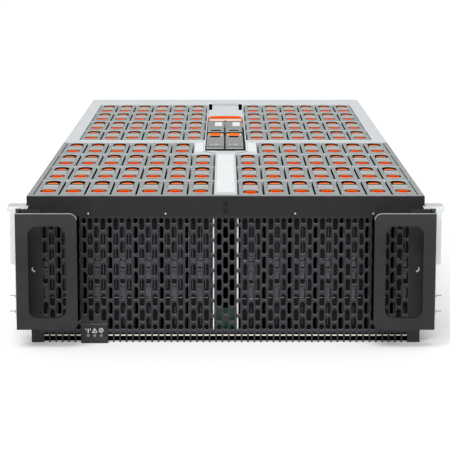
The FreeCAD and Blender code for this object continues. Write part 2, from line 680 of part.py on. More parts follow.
def standing_centers(row):
    """The drives of a row that share its node: all but the one modelled by itself."""
    taken = [x for lifted_row, x in LIFTED.values() if lifted_row == row]
    return [x for x in row_centers(row) if not any(abs(x - t) < 1 for t in taken)]


def drive_unit(x, front):
    """A drive in its carrier as one block: a well on each side of the raised bridge."""
    floor = CARRIER_TOP - WELL_DEPTH
    outline = [
        (front, BOARD_TOP), (front + CARRIER_LENGTH, BOARD_TOP), (front + CARRIER_LENGTH, floor),
        (front + BRIDGE_REAR, CARRIER_TOP), (front + BRIDGE_FRONT, CARRIER_TOP),
        (front + BRIDGE_FRONT - WELL_DEPTH, floor), (front + WELL_FRONT, CARRIER_TOP),
        (front, CARRIER_TOP),
    ]
    return along_x(outline, x - CARRIER_WIDTH / 2, x + CARRIER_WIDTH / 2)


def carriers(row):
    return Part.makeCompound([drive_unit(x, row_front(row)) for x in standing_centers(row)])


def oval(x, ends, half, bulges):
    """A flat outline seen from above, with straight sides and its two ends bulged out."""
    left, right = x - half, x + half
    (start, end), (front, rear) = ends, bulges
    front_left, front_right = V(left, start + front, 0), V(right, start + front, 0)
    rear_left, rear_right = V(left, end - rear, 0), V(right, end - rear, 0)
    near = Part.LineSegment(front_left, front_right)
    if front:
        near = Part.Arc(front_left, V(x, start, 0), front_right)
    far = Part.Arc(rear_right, V(x, end, 0), rear_left)
    right_side = Part.LineSegment(front_right, rear_right)
    left_side = Part.LineSegment(rear_left, front_left)
    return Part.Face(Part.Wire([edge.toShape() for edge in (near, right_side, far, left_side)]))


def well(x, start, length, front_bulge):
    """A finger well through the top plate, half round behind."""
    half = WELL_WIDTH / 2
    hole = oval(x, (start, start + length), half, (front_bulge, half))
    hole.translate(V(0, 0, PLATE_BOTTOM))
    return hole.extrude(V(0, 0, CARRIER_PLATE))


def rear_well_start(front):
    return front + BRIDGE_REAR + SLIDE_GAP


def lifted_carrier(name):
    """A carrier by itself: top plate with two finger wells, and a rail down each side."""
    row, x = LIFTED[name]
    front = row_front(row)
    half = CARRIER_WIDTH / 2
    plate = box((x - half, x + half), (front, front + CARRIER_LENGTH), (PLATE_BOTTOM, CARRIER_TOP))
    plate = plate.cut([
        well(x, front + WELL_FRONT, FRONT_WELL_LENGTH, WELL_WIDTH / 2),
        well(x, rear_well_start(front), REAR_WELL_LENGTH, 0),
    ])
    rails = []
    for side in ((x - half, x - DRIVE_THICK / 2), (x + DRIVE_THICK / 2, x + half)):
        rails.append(box(side, (front, front + CARRIER_LENGTH), (BOARD_TOP, PLATE_BOTTOM)))
    return plate.fuse(rails).removeSplitter()


def lifted_drive(name):
    """The drive between a carrier's rails, with the bevelled corners of its casting."""
    row, x = LIFTED[name]
    start = row_front(row) + (CARRIER_LENGTH - DRIVE_WIDTH) / 2
    bevel = DRIVE_BEVEL
    low, high = x - DRIVE_THICK / 2, x + DRIVE_THICK / 2
    outline = [
        (low, start), (high, start), (high, start + DRIVE_WIDTH - bevel),
        (high - bevel, start + DRIVE_WIDTH), (low + bevel, start + DRIVE_WIDTH),
        (low, start + DRIVE_WIDTH - bevel),
    ]
    return along_z(outline, PLATE_BOTTOM - DRIVE_TALL, PLATE_BOTTOM)


def pinch_pad(name, end):
    """A pinch pad in its well: a lens seen from above, the rear one also ramped down behind."""
    row, x = LIFTED[name]
    front = row_front(row)
    if end == "front":
        start = front + WELL_FRONT + FRONT_PAD_INSET
    else:
        start = rear_well_start(front) + PAD_TRAVEL + SLIDE_GAP
    bulges = (PAD_BULGE_FRONT if end == "front" else 0, PAD_BULGE)
    outline = oval(x, (start, start + PAD_LENGTH), WELL_WIDTH / 2 - SLIDE_GAP, bulges)
    low, high = PLATE_BOTTOM + SLIDE_GAP, CARRIER_TOP - PAD_DROP
    outline.translate(V(0, 0, low))
    pad = outline.extrude(V(0, 0, high - low))
    if end == "rear":
        ramp = [(start, high), (start + PAD_LENGTH, high), (start + PAD_LENGTH, high - PAD_RAMP_DROP)]
        pad = pad.cut(along_x(ramp, x - WELL_WIDTH, x + WELL_WIDTH))
    return pad


# ---- modules in the bay -----------------------------------------------------------------
def right_expander():
    """A module that plugs in from above; its front half lies lower, under the lever."""
    inner = MODULE_GAP / 2
    outer = inner + MODULE_WIDTH
    rear = MODULE_REAR - SLIDE_GAP
    low_top = MODULE_TOP - LEVER_THICK - SLIDE_GAP
    side = [
        (MODULE_FRONT, BAY_SHELF_Z), (rear, BAY_SHELF_Z), (rear, MODULE_TOP),
        (MODULE_STEP, MODULE_TOP), (MODULE_STEP, low_top), (MODULE_FRONT, low_top),
    ]
    y = (LEVER_PIN_Y - LUG_HALF, LEVER_PIN_Y + LUG_HALF)
    lugs = [
        box(x, y, (low_top, MODULE_TOP))
        for x in ((inner, inner + LUG_THICK), (outer - LUG_THICK, outer))
    ]
    bore = bore_radius(LEVER_PIN_RADIUS, LEVER_PIN_FIT, BORE_SIDES)
    outline = round_points(bore, BORE_SIDES, LEVER_PIN_Y, LEVER_PIN_Z)
    case = along_x(side, inner, outer).fuse(lugs).removeSplitter()
    return case.cut(along_x(outline, inner, outer))


def right_ejector():
    """Lever over a module's front half: pinned at its front end, finger slot near its tab."""
    start = MODULE_GAP / 2
    inner = start + LUG_THICK + SLIDE_GAP
    outer = start + MODULE_WIDTH - LUG_THICK - SLIDE_GAP
    low = MODULE_TOP - LEVER_THICK
    tab = LEVER_REAR - LEVER_TAB
    side = [
        (LEVER_PIN_Y - LEVER_THICK / 2, LEVER_PIN_Z), (LEVER_PIN_Y, low), (tab, low),
        (LEVER_REAR, low + LEVER_TAB_THIN), (LEVER_REAR, MODULE_TOP - LEVER_TAB_THIN),
        (tab, MODULE_TOP), (LEVER_PIN_Y, MODULE_TOP),
    ]
    arm = along_x(side, inner, outer)
    slot = box(
        (inner + FINGER_SLOT_WALL, outer - FINGER_SLOT_WALL),
        (FINGER_SLOT_FRONT, FINGER_SLOT_FRONT + FINGER_SLOT),
        (low + FINGER_SLOT_WALL, MODULE_TOP),
    )
    end = start + MODULE_WIDTH - SLIDE_GAP
    pin = rod_x(LEVER_PIN_RADIUS, start + SLIDE_GAP, end, LEVER_PIN_Y, LEVER_PIN_Z)
    return arm.cut(slot).fuse(pin).removeSplitter()


def pull_bar():
    """Bail across the bay behind the modules: a low shelf and an upright blade behind it."""
    half = BAY_INNER - SEAT_GAP
    low = RIM_TOP - PULL_BAR_DROP
    blade = PULL_BAR_REAR - PULL_BAR_BLADE
    side = [
        (PULL_BAR_FRONT, low), (PULL_BAR_PIN_Y, low), (PULL_BAR_REAR, PULL_BAR_PIN_Z),
        (PULL_BAR_REAR, RIM_TOP), (blade, RIM_TOP), (blade, low + PULL_BAR_SHELF),
        (PULL_BAR_FRONT, low + PULL_BAR_SHELF),
    ]
    pin = rod_x(PULL_BAR_PIN_RADIUS, -BAY_HALF, BAY_HALF, PULL_BAR_PIN_Y, PULL_BAR_PIN_Z)
    return along_x(side, -half, half).fuse(pin).removeSplitter()


def bay_cover():
    """Plate over the rear of the bay, with a notch in each edge."""
    outer, inner = BAY_INNER, BAY_INNER - COVER_NOTCH
    right = [
        (outer, PULL_BAR_REAR + LUG_THICK), (outer, COVER_NOTCH_FRONT), (inner, COVER_NOTCH_FRONT),
        (inner, COVER_NOTCH_REAR), (outer, COVER_NOTCH_REAR), (outer, BAY_REAR_COVER_END),
    ]
    outline = right + [(-x, y) for x, y in reversed(right)]
    return along_z(outline, RIM_UNDER - 2 * THIN_SHEET, RIM_UNDER - THIN_SHEET)


# ---- rear modules -----------------------------------------------------------------------
def supply_bottom(level):
    return BOARD_TOP + SUPPLY_BASE_LIFT + level * SUPPLY_PITCH


def slide_case(level):
    half = SUPPLY_WIDTH / 2
    z = supply_bottom(level)
    return box((-half, half), (DEPTH - SUPPLY_LENGTH, DEPTH), (z, z + SUPPLY_TALL))


def power_supply(level):
    """Power supply: a long case with a mains inlet in its rear face and a grip beside it."""
    z = supply_bottom(level) + SUPPLY_TALL / 2
    half = SUPPLY_WIDTH / 2
    x = INLET_MARGIN + INLET_WIDTH / 2 - half
    inlet = box((x - INLET_WIDTH / 2, x + INLET_WIDTH / 2), (DEPTH - INLET_DEPTH, DEPTH),
                (z - INLET_TALL / 2, z + INLET_TALL / 2))
    core_x, core_z = INLET_CORE[0] / 2, INLET_CORE[1] / 2
    core = box((x - core_x, x + core_x), (DEPTH - INLET_DEPTH, DEPTH - INLET_MARGIN),
               (z - core_z, z + core_z))
    low, high = z - SUPPLY_TALL / 2 + GRIP_INSET, z + SUPPLY_TALL / 2 - GRIP_INSET
    tip = DEPTH + GRIP_REACH
    side = [
        (DEPTH, low), (tip - GRIP_CORNER, low), (tip, low + GRIP_CORNER), (tip, high - GRIP_CORNER),
        (tip - GRIP_CORNER, high), (DEPTH, high), (DEPTH, high - GRIP_BAR),
        (tip - GRIP_BAR, high - GRIP_BAR), (tip - GRIP_BAR, low + GRIP_BAR), (DEPTH, low + GRIP_BAR),
    ]
    grip = along_x(side, half - INLET_MARGIN - GRIP_BAR, half - INLET_MARGIN)
    return slide_case(level).cut(inlet).fuse([core, grip]).removeSplitter()


def lever_span(level):
    """Lowest and highest Z of an I/O module's lever."""
    low = supply_bottom(level) + LEVER_BASE
    return low, low + LEVER_TALL


def pin_span(level):
    """Lowest and highest Z of the ears that hold that lever's pin."""
    low, high = lever_span(level)
    return low - SLIDE_GAP - EAR_THICK, high + SLIDE_GAP + EAR_THICK


def io_module(level):
    """I/O module: a long case with two ears that hold the pin of its ejector lever."""
    x, y = REAR_LEVER_PIN
    low, high = pin_span(level)
    ears = [
        box((x - EAR_HALF, x + EAR_HALF), (DEPTH, y + EAR_HALF), (start, start + EAR_THICK))
        for start in (low, high - EAR_THICK)
    ]
    outline = round_points(bore_radius(LEVER_PIN_RADIUS, LEVER_PIN_FIT, BORE_SIDES), BORE_SIDES, x, y)
    return slide_case(level).fuse(ears).removeSplitter().cut(along_z(outline, low, high))


def io_lever(level):
    """Ejector lever that lies along the face and swings out about an upright pin."""
    x, y = REAR_LEVER_PIN
    front, rear = y - REAR_LEVER_THICK / 2, y + REAR_LEVER_THICK / 2
    root, tip = x - REAR_LEVER_THICK / 2 - 1, x + LEVER_LENGTH
    outline = [
        (root, front), (tip - LEVER_TIP, front), (tip, rear), (tip, front + LEVER_TIP),
        (tip - LEVER_TIP, rear), (root, rear),
    ]
    arm = along_z(outline, *lever_span(level))
    return arm.fuse(rod_z(LEVER_PIN_RADIUS, *pin_span(level), x, y)).removeSplitter()


def fan_places():
    """X of the four fan modules, left to right."""
    room = (BAY_HALF + WALL_INNER) / 2
    step = FAN_MODULE_WIDTH / 2 + SEAT_GAP
    return [-room - step, -room + step, room - step, room + step]


def fan_axis_z():
    return FAN_BOTTOM + FAN_MODULE_TALL / 2


def fan_housing(index):
    """Fan module: a square duct round the rotor with a bearing held by three struts."""
    x, z = fan_places()[index], fan_axis_z()
    half = FAN_MODULE_WIDTH / 2
    front, rear = DEPTH - FAN_MODULE_LENGTH, DEPTH
    case = box((x - half, x + half), (front, rear), (FAN_BOTTOM, FAN_BOTTOM + FAN_MODULE_TALL))
    case = case.cut(along_y(round_points(FAN_BORE, FAN_SIDES, x, z), front, rear))
    hub = along_y(round_points(FAN_HUB, FAN_SIDES, x, z), rear - FAN_STRUT_THICK, rear)
    struts = []
    for k in range(3):
        bar = box((x - FAN_STRUT / 2, x + FAN_STRUT / 2), (rear - FAN_STRUT_THICK, rear),
                  (z, z + FAN_BORE + FAN_TIP_GAP))
        bar.rotate(V(x, 0, z), V(0, 1, 0), 120 * k)
        struts.append(bar)
    case = case.fuse([hub] + struts).removeSplitter()
    bearing = round_points(bore_radius(FAN_SHAFT, FAN_SHAFT_FIT, FAN_SIDES), FAN_SIDES, x, z)
    return case.cut(along_y(bearing, rear - FAN_STRUT_THICK, rear))


def fan_rotor(index):
    """Rotor: a hub, a shaft that runs in the bearing and a ring of pitched blades."""
    x, z = fan_places()[index], fan_axis_z()
    rear = DEPTH - FAN_STRUT_THICK - SLIDE_GAP
    hub = along_y(round_points(FAN_HUB, FAN_SIDES, x, z), rear - FAN_BLADE_DEEP, rear)
    shaft = rod_y(FAN_SHAFT, rear, DEPTH, x, z)
    chord = (FAN_BLADE_DEEP - FAN_BLADE_THICK) / math.cos(math.radians(FAN_BLADE_PITCH))
    half_sweep = chord / 2 * math.sin(math.radians(FAN_BLADE_PITCH)) + FAN_BLADE_THICK
    reach = FAN_BORE * math.cos(math.pi / FAN_SIDES) - FAN_TIP_GAP
    tip = math.sqrt(reach ** 2 - half_sweep ** 2)
    root = FAN_HUB * math.cos(math.pi / FAN_SIDES) - FAN_BLADE_THICK
    blades = []
    for k in range(FAN_BLADES):
        blade = box((-FAN_BLADE_THICK / 2, FAN_BLADE_THICK / 2), (-chord / 2, chord / 2), (root, tip))
        blade.rotate(V(0, 0, 0), V(0, 0, 1), FAN_BLADE_PITCH)
        blade.rotate(V(0, 0, 0), V(0, 1, 0), 360.0 * k / FAN_BLADES)
        blade.translate(V(x, rear - FAN_BLADE_DEEP / 2, z))
        blades.append(blade)
    return hub.fuse([shaft] + blades).removeSplitter()


# ---- rack rails -------------------------------------------------------------------------
def inner_rails():
    """Rail members screwed flat to the side walls."""
    web = box((WALL_OUTER, WALL_OUTER + SHEET), (RAIL_FRONT, RAIL_FRONT + RAIL_LENGTH),
              (RAIL_BOTTOM, RAIL_BOTTOM + RAIL_TALL))
    return both_sides(web)


def right_rail():
    """Rack-side rail: a channel that wraps the inner member, and a flange for the rack post."""
    inner_face = WALL_OUTER + SHEET + SLIDE_GAP
    outer_face = inner_face + SHEET
    lip = WALL_OUTER + SLIDE_GAP
    low = RAIL_BOTTOM - SLIDE_GAP
    high = RAIL_BOTTOM + RAIL_TALL + SLIDE_GAP
    outline = [
        (lip, low - SHEET), (outer_face, low - SHEET), (outer_face, high + SHEET), (lip, high + SHEET),
        (lip, high), (inner_face, high), (inner_face, low), (lip, low),
    ]
    channel = along_y(outline, RAIL_FRONT, RAIL_FRONT + RAIL_LENGTH)
    wide, wider, widest = (PANEL_HALF + reach for reach in (FLANGE_REACH, STRIP_REACH, LUG_REACH))
    shoulder = FLANGE_BOTTOM + FLANGE_TALL
    flange = [
        (outer_face, FLANGE_BOTTOM), (wide, FLANGE_BOTTOM), (wide, shoulder), (wider, shoulder),
        (wider, FLANGE_TOP - LUG_TALL), (widest, FLANGE_TOP - LUG_TALL), (widest, FLANGE_TOP),
        (outer_face, FLANGE_TOP),
    ]
    plate = along_y(flange, SLIDE_GAP, SLIDE_GAP + SHEET)
    for z in (RACK_HOLE_LOW_Z, RACK_HOLE_LOW_Z + RACK_HOLE_SPACING):
        plate = plate.cut(rod_y(RACK_HOLE_RADIUS, SLIDE_GAP, SLIDE_GAP + SHEET, RACK_HOLE_X, z))
    z = (low - SHEET, high + SHEET)
    neck = box((outer_face - SHEET, outer_face), (SLIDE_GAP + SHEET, RAIL_FRONT), z)
    lead = box((outer_face, outer_face + SHEET), (SLIDE_GAP, RAIL_FRONT + RAIL_LEAD), z)
    return channel.fuse([plate, neck, lead]).removeSplitter()


def panel_screws():
    """Two countersunk screws in the plain band of the front panel."""
    heads = []
    for drop in SCREW_DROPS:
        heads.append(along_y(round_points(SCREW_HEAD, SCREW_SIDES, 0, HEIGHT - drop), -SCREW_PROUD, 0))
    return Part.makeCompound(heads)


# ---- the whole shelf --------------------------------------------------------------------
def build():
    parts = {
        "base_pan": base_pan(),
        "front_grille": front_grille(),
        "indicator_panel": indicator_panel(),
        "indicator_lights": indicator_lights(),
        "right_handle": right_handle(),
        "left_handle": mirrored(right_handle()),
        "front_top_rail": front_top_rail(),
        "front_dividers": front_dividers(),
        "rear_dividers": rear_dividers(),
        "mid_crossbar": mid_crossbar(),
        "rear_side_strips": rear_side_strips(),
        "rear_top_cover": rear_top_cover(),
        "center_channel": center_channel(),
        "expander_bay": expander_bay(),
        "filler_plates": filler_plates(),
        "front_backplane": board(FRONT_ROWS_AT),
        "rear_backplane": board(REAR_ROWS_AT),
        "rear_frame": rear_frame(),
        "right_expander": right_expander(),
        "left_expander": mirrored(right_expander()),
        "right_ejector": right_ejector(),
        "left_ejector": mirrored(right_ejector()),
        "pull_bar": pull_bar(),
        "bay_cover": bay_cover(),
        "inner_rails": inner_rails(),
        "right_rail": right_rail(),
        "left_rail": mirrored(right_rail()),
        "panel_screws": panel_screws(),
    }
    for row in range(1, 2 * ROWS_PER_GROUP + 1):
        parts[f"carriers_row_{row}"] = carriers(row)
    for name in LIFTED:
        parts[f"carrier_{name}"] = lifted_carrier(name)
        parts[f"drive_{name}"] = lifted_drive(name)
        for end in ("front", "rear"):
            parts[f"{end}_pad_{name}"] = pinch_pad(name, end)
    for number in (1, 2):
        parts[f"power_supply_{number}"] = power_supply(number - 1)
        parts[f"io_module_{number}"] = io_module(number + 1)
        parts[f"io_lever_{number}"] = io_lever(number + 1)
    for index in range(4):
        parts[f"fan_housing_{index + 1}"] = fan_housing(index)
        parts[f"fan_rotor_{index + 1}"] = fan_rotor(index)
    return parts


os.makedirs("parts", exist_ok=True)
for node, shape in build().items():
    shape.translate(V(0, -ORIGIN_Y, 0))
    shape.exportStep(f"parts/{node}.step")
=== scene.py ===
"""Looks of the open disk shelf: materials, fine pieces, light and camera round the CAD frame.

Lengths are metres in the row frame: +Z up, the shelf's front panel faces -Y and the origin is
under the middle of the shelf. Sizes are written in millimetres inside mm().
"""

import logging
import math
from dataclasses import dataclass, field
from enum import Enum
from typing import Iterable, Sequence

import bmesh
import bpy
from mathutils import Matrix, Vector

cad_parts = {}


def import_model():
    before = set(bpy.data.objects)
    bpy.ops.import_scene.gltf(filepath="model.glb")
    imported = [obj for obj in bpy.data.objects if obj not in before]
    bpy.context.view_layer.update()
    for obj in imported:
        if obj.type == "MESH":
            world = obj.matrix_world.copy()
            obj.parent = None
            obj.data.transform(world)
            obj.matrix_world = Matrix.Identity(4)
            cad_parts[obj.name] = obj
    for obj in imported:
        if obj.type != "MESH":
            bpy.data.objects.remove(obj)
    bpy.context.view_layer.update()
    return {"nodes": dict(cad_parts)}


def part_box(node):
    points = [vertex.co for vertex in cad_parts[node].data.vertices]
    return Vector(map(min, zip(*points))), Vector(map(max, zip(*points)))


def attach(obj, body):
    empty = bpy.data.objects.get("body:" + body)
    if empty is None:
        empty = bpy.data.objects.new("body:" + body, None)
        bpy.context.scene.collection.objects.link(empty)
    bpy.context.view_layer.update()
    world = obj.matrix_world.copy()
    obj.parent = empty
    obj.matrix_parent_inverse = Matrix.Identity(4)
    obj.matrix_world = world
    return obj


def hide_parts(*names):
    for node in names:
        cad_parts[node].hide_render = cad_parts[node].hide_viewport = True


LOG = logging.getLogger("disk_shelf")
SHEEN_DRIFT = 0.05    # how far a surface's roughness wanders either way
BUMP_SHARE = 0.2      # height of a surface's relief as a share of its grain

Point = tuple[float, float]
Span = tuple[float, float]


def mm(value: float) -> float:
    """Turns millimetres into the metres of the row frame.

    Args:
        value: a length in millimetres.

    Returns:
        The same length in metres.
    """
    return value / 1000.0


# ---- colours and finishes ------------------------------------------------------------------
def linear(code: str) -> tuple[float, float, float, float]:
    """Turns a hex colour into the linear values that a shader socket takes.

    Args:
        code: six hex digits after a hash.

    Returns:
        Red, green, blue and alpha, each from 0 to 1.
    """
    channels = [int(code[i:i + 2], 16) / 255 for i in (1, 3, 5)]
    low = [c / 12.92 if c <= 0.04045 else ((c + 0.055) / 1.055) ** 2.4 for c in channels]
    return low[0], low[1], low[2], 1.0


class Process(Enum):
    """How a surface was made, which sets the pattern that its material gets."""

    POWDER_COAT = "powder coat"
    SHEET = "plated sheet"
    BRUSHED = "drawn sheet"
    MOULDING = "moulding"
    CASTING = "casting"
    LABEL = "label"
    BOARD = "board"


@dataclass(frozen=True)
class Finish:
    """What a surface is and how it looks before its pattern is added.

    Attributes:
        name: the real material and process, as the material's name.
        colour: hex code of the surface.
        drift: hex code towards which the colour wanders.
        roughness: how much it blurs a reflection, from 0 to 1.
        process: how the surface was made.
        metal: 1 for bare metal, 0 for paint, plastic and paper.
        grain: size in metres of the fine texture.
        relief: strength of that texture's bump, from 0 to 1.
        gloss: specular level of paint, plastic and paper.
        tint: hex code of painted light that takes over where the tint's share is 1, or nothing.
        fade: heights at which that share is 0 and 1; left out, a mesh's "tint" value is the share.
    """

    name: str
    colour: str
    drift: str
    roughness: float
    process: Process
    metal: float = 0.0
    grain: float = mm(0.8)
    relief: float = 0.2
    gloss: float = 0.5
    tint: str = ""
    fade: tuple[float, ...] = ()


# Textured black paint: its fine bumps break the lamps into a soft grey sheen.
BLACK_COAT = Finish("powder_coat_black", "#1E1E1F", "#232325", 0.6, Process.POWDER_COAT,
                    grain=mm(0.9), relief=0.25, gloss=0.2)
# The same paint round the slots, with painted light: the web is painted lighter below the band
# above, where more light falls on it.
WEB_COAT = Finish("powder_coat_web_painted_light", "#1F1F20", "#232324", 0.6, Process.POWDER_COAT,
                  grain=mm(0.9), relief=0.25, gloss=0.2, tint="#313135",
                  fade=(mm(147.0), mm(136.0)))
# The same paint on the handles, painted lighter as they stand in full light, and painted lighter
# still towards their tops.
HANDLE_COAT = Finish("powder_coat_handle_painted_light", "#262628", "#2B2B2D", 0.55, Process.POWDER_COAT,
                     grain=mm(0.9), relief=0.25, gloss=0.2, tint="#303033",
                     fade=(mm(120.0), mm(153.0)))
# The same paint with a painted highlight: a thin grey line on bevels that face the light.
COAT_HIGHLIGHT = Finish("powder_coat_painted_highlight", "#9A9D9E", "#B0B3B4", 0.35, Process.POWDER_COAT,
                   grain=mm(0.9), relief=0.1)
# The same paint with a painted highlight on the lower lips of the slots: a faint light line.
LIP_COAT = Finish("powder_coat_lip_painted_highlight", "#68686C", "#727276", 0.5, Process.POWDER_COAT,
                  grain=mm(0.9), relief=0.1)
# Bright plated sheet: near-white where it faces the light, with a faint zinc mottling.
BRIGHT_SHEET = Finish("plated_sheet_bright", "#DEE2E4", "#D2D7DA", 0.5, Process.SHEET,
                      metal=0.15, grain=mm(9.0), relief=0.06)
# Plated sheet in the shade of the rim, and its folded edges: a cooler, darker grey.
SHADED_SHEET = Finish("plated_sheet_edge", "#BFC5C8", "#B2B8BB", 0.5, Process.SHEET,
                      metal=0.15, grain=mm(9.0), relief=0.06)
# The front rail's top is passivated darker, so it reads as a grey line over the panel.
RAIL_SHEET = Finish("passivated_sheet_grey", "#A2A6A7", "#8E9293", 0.5, Process.SHEET,
                    metal=0.2, grain=mm(8.0), relief=0.06)
# Galvanised pan: duller and greyer than the covers, with larger spangles.
PAN_SHEET = Finish("galvanised_pan", "#BCC0C2", "#ACB0B2", 0.45, Process.SHEET,
                   metal=0.6, grain=mm(16.0), relief=0.1)
# Zinc-plated rails: drawn steel with fine lines along its length.
RAIL_ZINC = Finish("zinc_rail", "#E6E9EA", "#D4D8DA", 0.4, Process.BRUSHED,
                   metal=0.3, grain=mm(0.6), relief=0.12)
# Grey glass-filled nylon: matt and slightly cloudy, with a spark-eroded grain.
CARRIER_NYLON = Finish("carrier_nylon_grey", "#9EA2A1", "#959998", 0.6, Process.MOULDING,
                       grain=mm(0.7), relief=0.15)
# The bridge is the same nylon in a lighter grey.
BRIDGE_NYLON = Finish("bridge_nylon_light", "#B4B6B6", "#A8AAAA", 0.5, Process.MOULDING,
                      grain=mm(0.8), relief=0.08)
# Painted highlight on the carriers' lips and ribs: a thin light line on the nylon where they face
# the light; the levers' light tab ends and marks share it.
LIP_NYLON = Finish("nylon_painted_highlight_and_marks", "#D6D9D9", "#CCD0D0", 0.45, Process.MOULDING,
                   grain=mm(0.8), relief=0.06)
# Draft faces and shallow grooves of the nylon, which see less light.
GROOVE_NYLON = Finish("groove_nylon_shaded", "#3C4247", "#32383C", 0.8, Process.MOULDING,
                      grain=mm(0.8), relief=0.1, gloss=0.0)
# Shallow dish in front of the front well: the nylon dips out of the light.
DISH_NYLON = Finish("dish_nylon_shaded", "#83898B", "#7B8183", 0.8, Process.MOULDING,
                    grain=mm(0.8), relief=0.1, gloss=0.0)
# Orange release plastic: saturated satin moulding; on the front pads a painted highlight turns it
# paler towards their rear and sides, where they face the light.
RELEASE_ORANGE = Finish("release_plastic_orange", "#D63C00", "#CE3800", 0.9, Process.MOULDING,
                        grain=mm(0.8), relief=0.08, gloss=0.0, tint="#FA7A28")
# Thin orange tabs glow lighter than the solid levers.
TAB_ORANGE = Finish("release_plastic_tab", "#FC7A2C", "#FA7424", 0.9, Process.MOULDING,
                    grain=mm(0.8), relief=0.08, gloss=0.0)
# The pull bar is the same plastic in full light.
BAR_ORANGE = Finish("release_plastic_bar", "#F25400", "#EE5000", 0.9, Process.MOULDING,
                    grain=mm(0.8), relief=0.08, gloss=0.0)
# The rear pads, with painted light: dark orange at the back, where their slope falls into shade,
# turning peach at their front edge, which faces the light.
PALE_ORANGE = Finish("release_plastic_pale", "#C03400", "#B83000", 0.9, Process.MOULDING,
                     grain=mm(0.8), relief=0.06, gloss=0.0, tint="#FFA468")
# Top of the pull bar's shelf: it mirrors the white plate over it, so it is nearly white and warm.
SHELF_PEACH = Finish("release_plastic_shelf", "#F1CDBE", "#F6D6C8", 0.6, Process.MOULDING,
                     grain=mm(0.8), relief=0.06, gloss=0.2)
# Black moulding of fans, grips and the indicator cover.
BLACK_PLASTIC = Finish("moulding_black", "#232326", "#29292C", 0.5, Process.MOULDING,
                       grain=mm(0.8), relief=0.2, gloss=0.3)
# Painted shade: near black for the insides of wells, gaps, slots and notches, where no light
# reaches.
PAINTED_SHADE_BLACK = Finish("moulding_painted_shade_black", "#030303", "#060607", 0.9, Process.MOULDING,
                    grain=mm(1.0), relief=0.1, gloss=0.0)
# Faces of the drives behind the panel: black moulding in its shade.
FACE_BLACK = Finish("drive_face_black", "#131315", "#1A1A1C", 0.6, Process.MOULDING,
                    grain=mm(1.0), relief=0.1, gloss=0.2)
# Ribs of those faces stand forward and catch more light.
RIB_GREY = Finish("drive_face_rib", "#626268", "#56565C", 0.5, Process.MOULDING,
                  grain=mm(1.0), relief=0.1)
# Unlit light pipe: cloudy warm grey.
LIGHT_PIPE = Finish("light_pipe_grey", "#98928C", "#8A857F", 0.3, Process.MOULDING,
                    grain=mm(1.2), relief=0.05)
# Solder mask over copper: dark green with faint tracks.
SOLDER_MASK = Finish("solder_mask_green", "#12352A", "#1C4A3A", 0.35, Process.BOARD,
                     grain=mm(5.0), relief=0.25)
# Die-cast drive body: as cast, dull and fine-grained.
DRIVE_CASTING = Finish("drive_casting", "#8E9092", "#7D7F82", 0.5, Process.CASTING,
                       metal=0.8, grain=mm(2.0), relief=0.25)
# Module case: plated sheet, less bright than the covers.
MODULE_SHEET = Finish("module_sheet_grey", "#969A98", "#8E9290", 0.5, Process.SHEET,
                      metal=0.15, grain=mm(8.0), relief=0.06)
# Folded front edge of a module: the fold turns away from the light.
MODULE_FOLD = Finish("module_sheet_fold", "#5E6261", "#565A59", 0.5, Process.SHEET,
                     metal=0.15, grain=mm(8.0), relief=0.06)
# Bare labels: coated white paper.
LABEL_WHITE = Finish("label_paper_white", "#EEF0F2", "#E8EAEC", 0.6, Process.LABEL,
                     grain=mm(0.6), relief=0.04)
# Cut edges and walls of plated sheet that face the light: clean white lines between the rows.
EDGE_WHITE = Finish("wall_edge_white", "#FFFFFF", "#FAFAFA", 0.4, Process.SHEET,
                    grain=mm(9.0), relief=0.02)
# Cream edge of the liner behind the comb.
CREAM_EDGE = Finish("liner_edge_cream", "#E4DECF", "#D4CEBF", 0.5, Process.LABEL,
                    grain=mm(0.6), relief=0.04)
# Bright nickel of rivets and clips: small sparks on the black panel.
NICKEL = Finish("nickel_bright", "#E2E2E0", "#CFCFCD", 0.25, Process.CASTING,
                metal=0.6, grain=mm(0.6), relief=0.05)
# Black zinc screws.
SCREW_ZINC = Finish("screw_zinc_black", "#050506", "#0A0A0B", 0.4, Process.CASTING,
                    metal=0.5, grain=mm(0.6), relief=0.1)


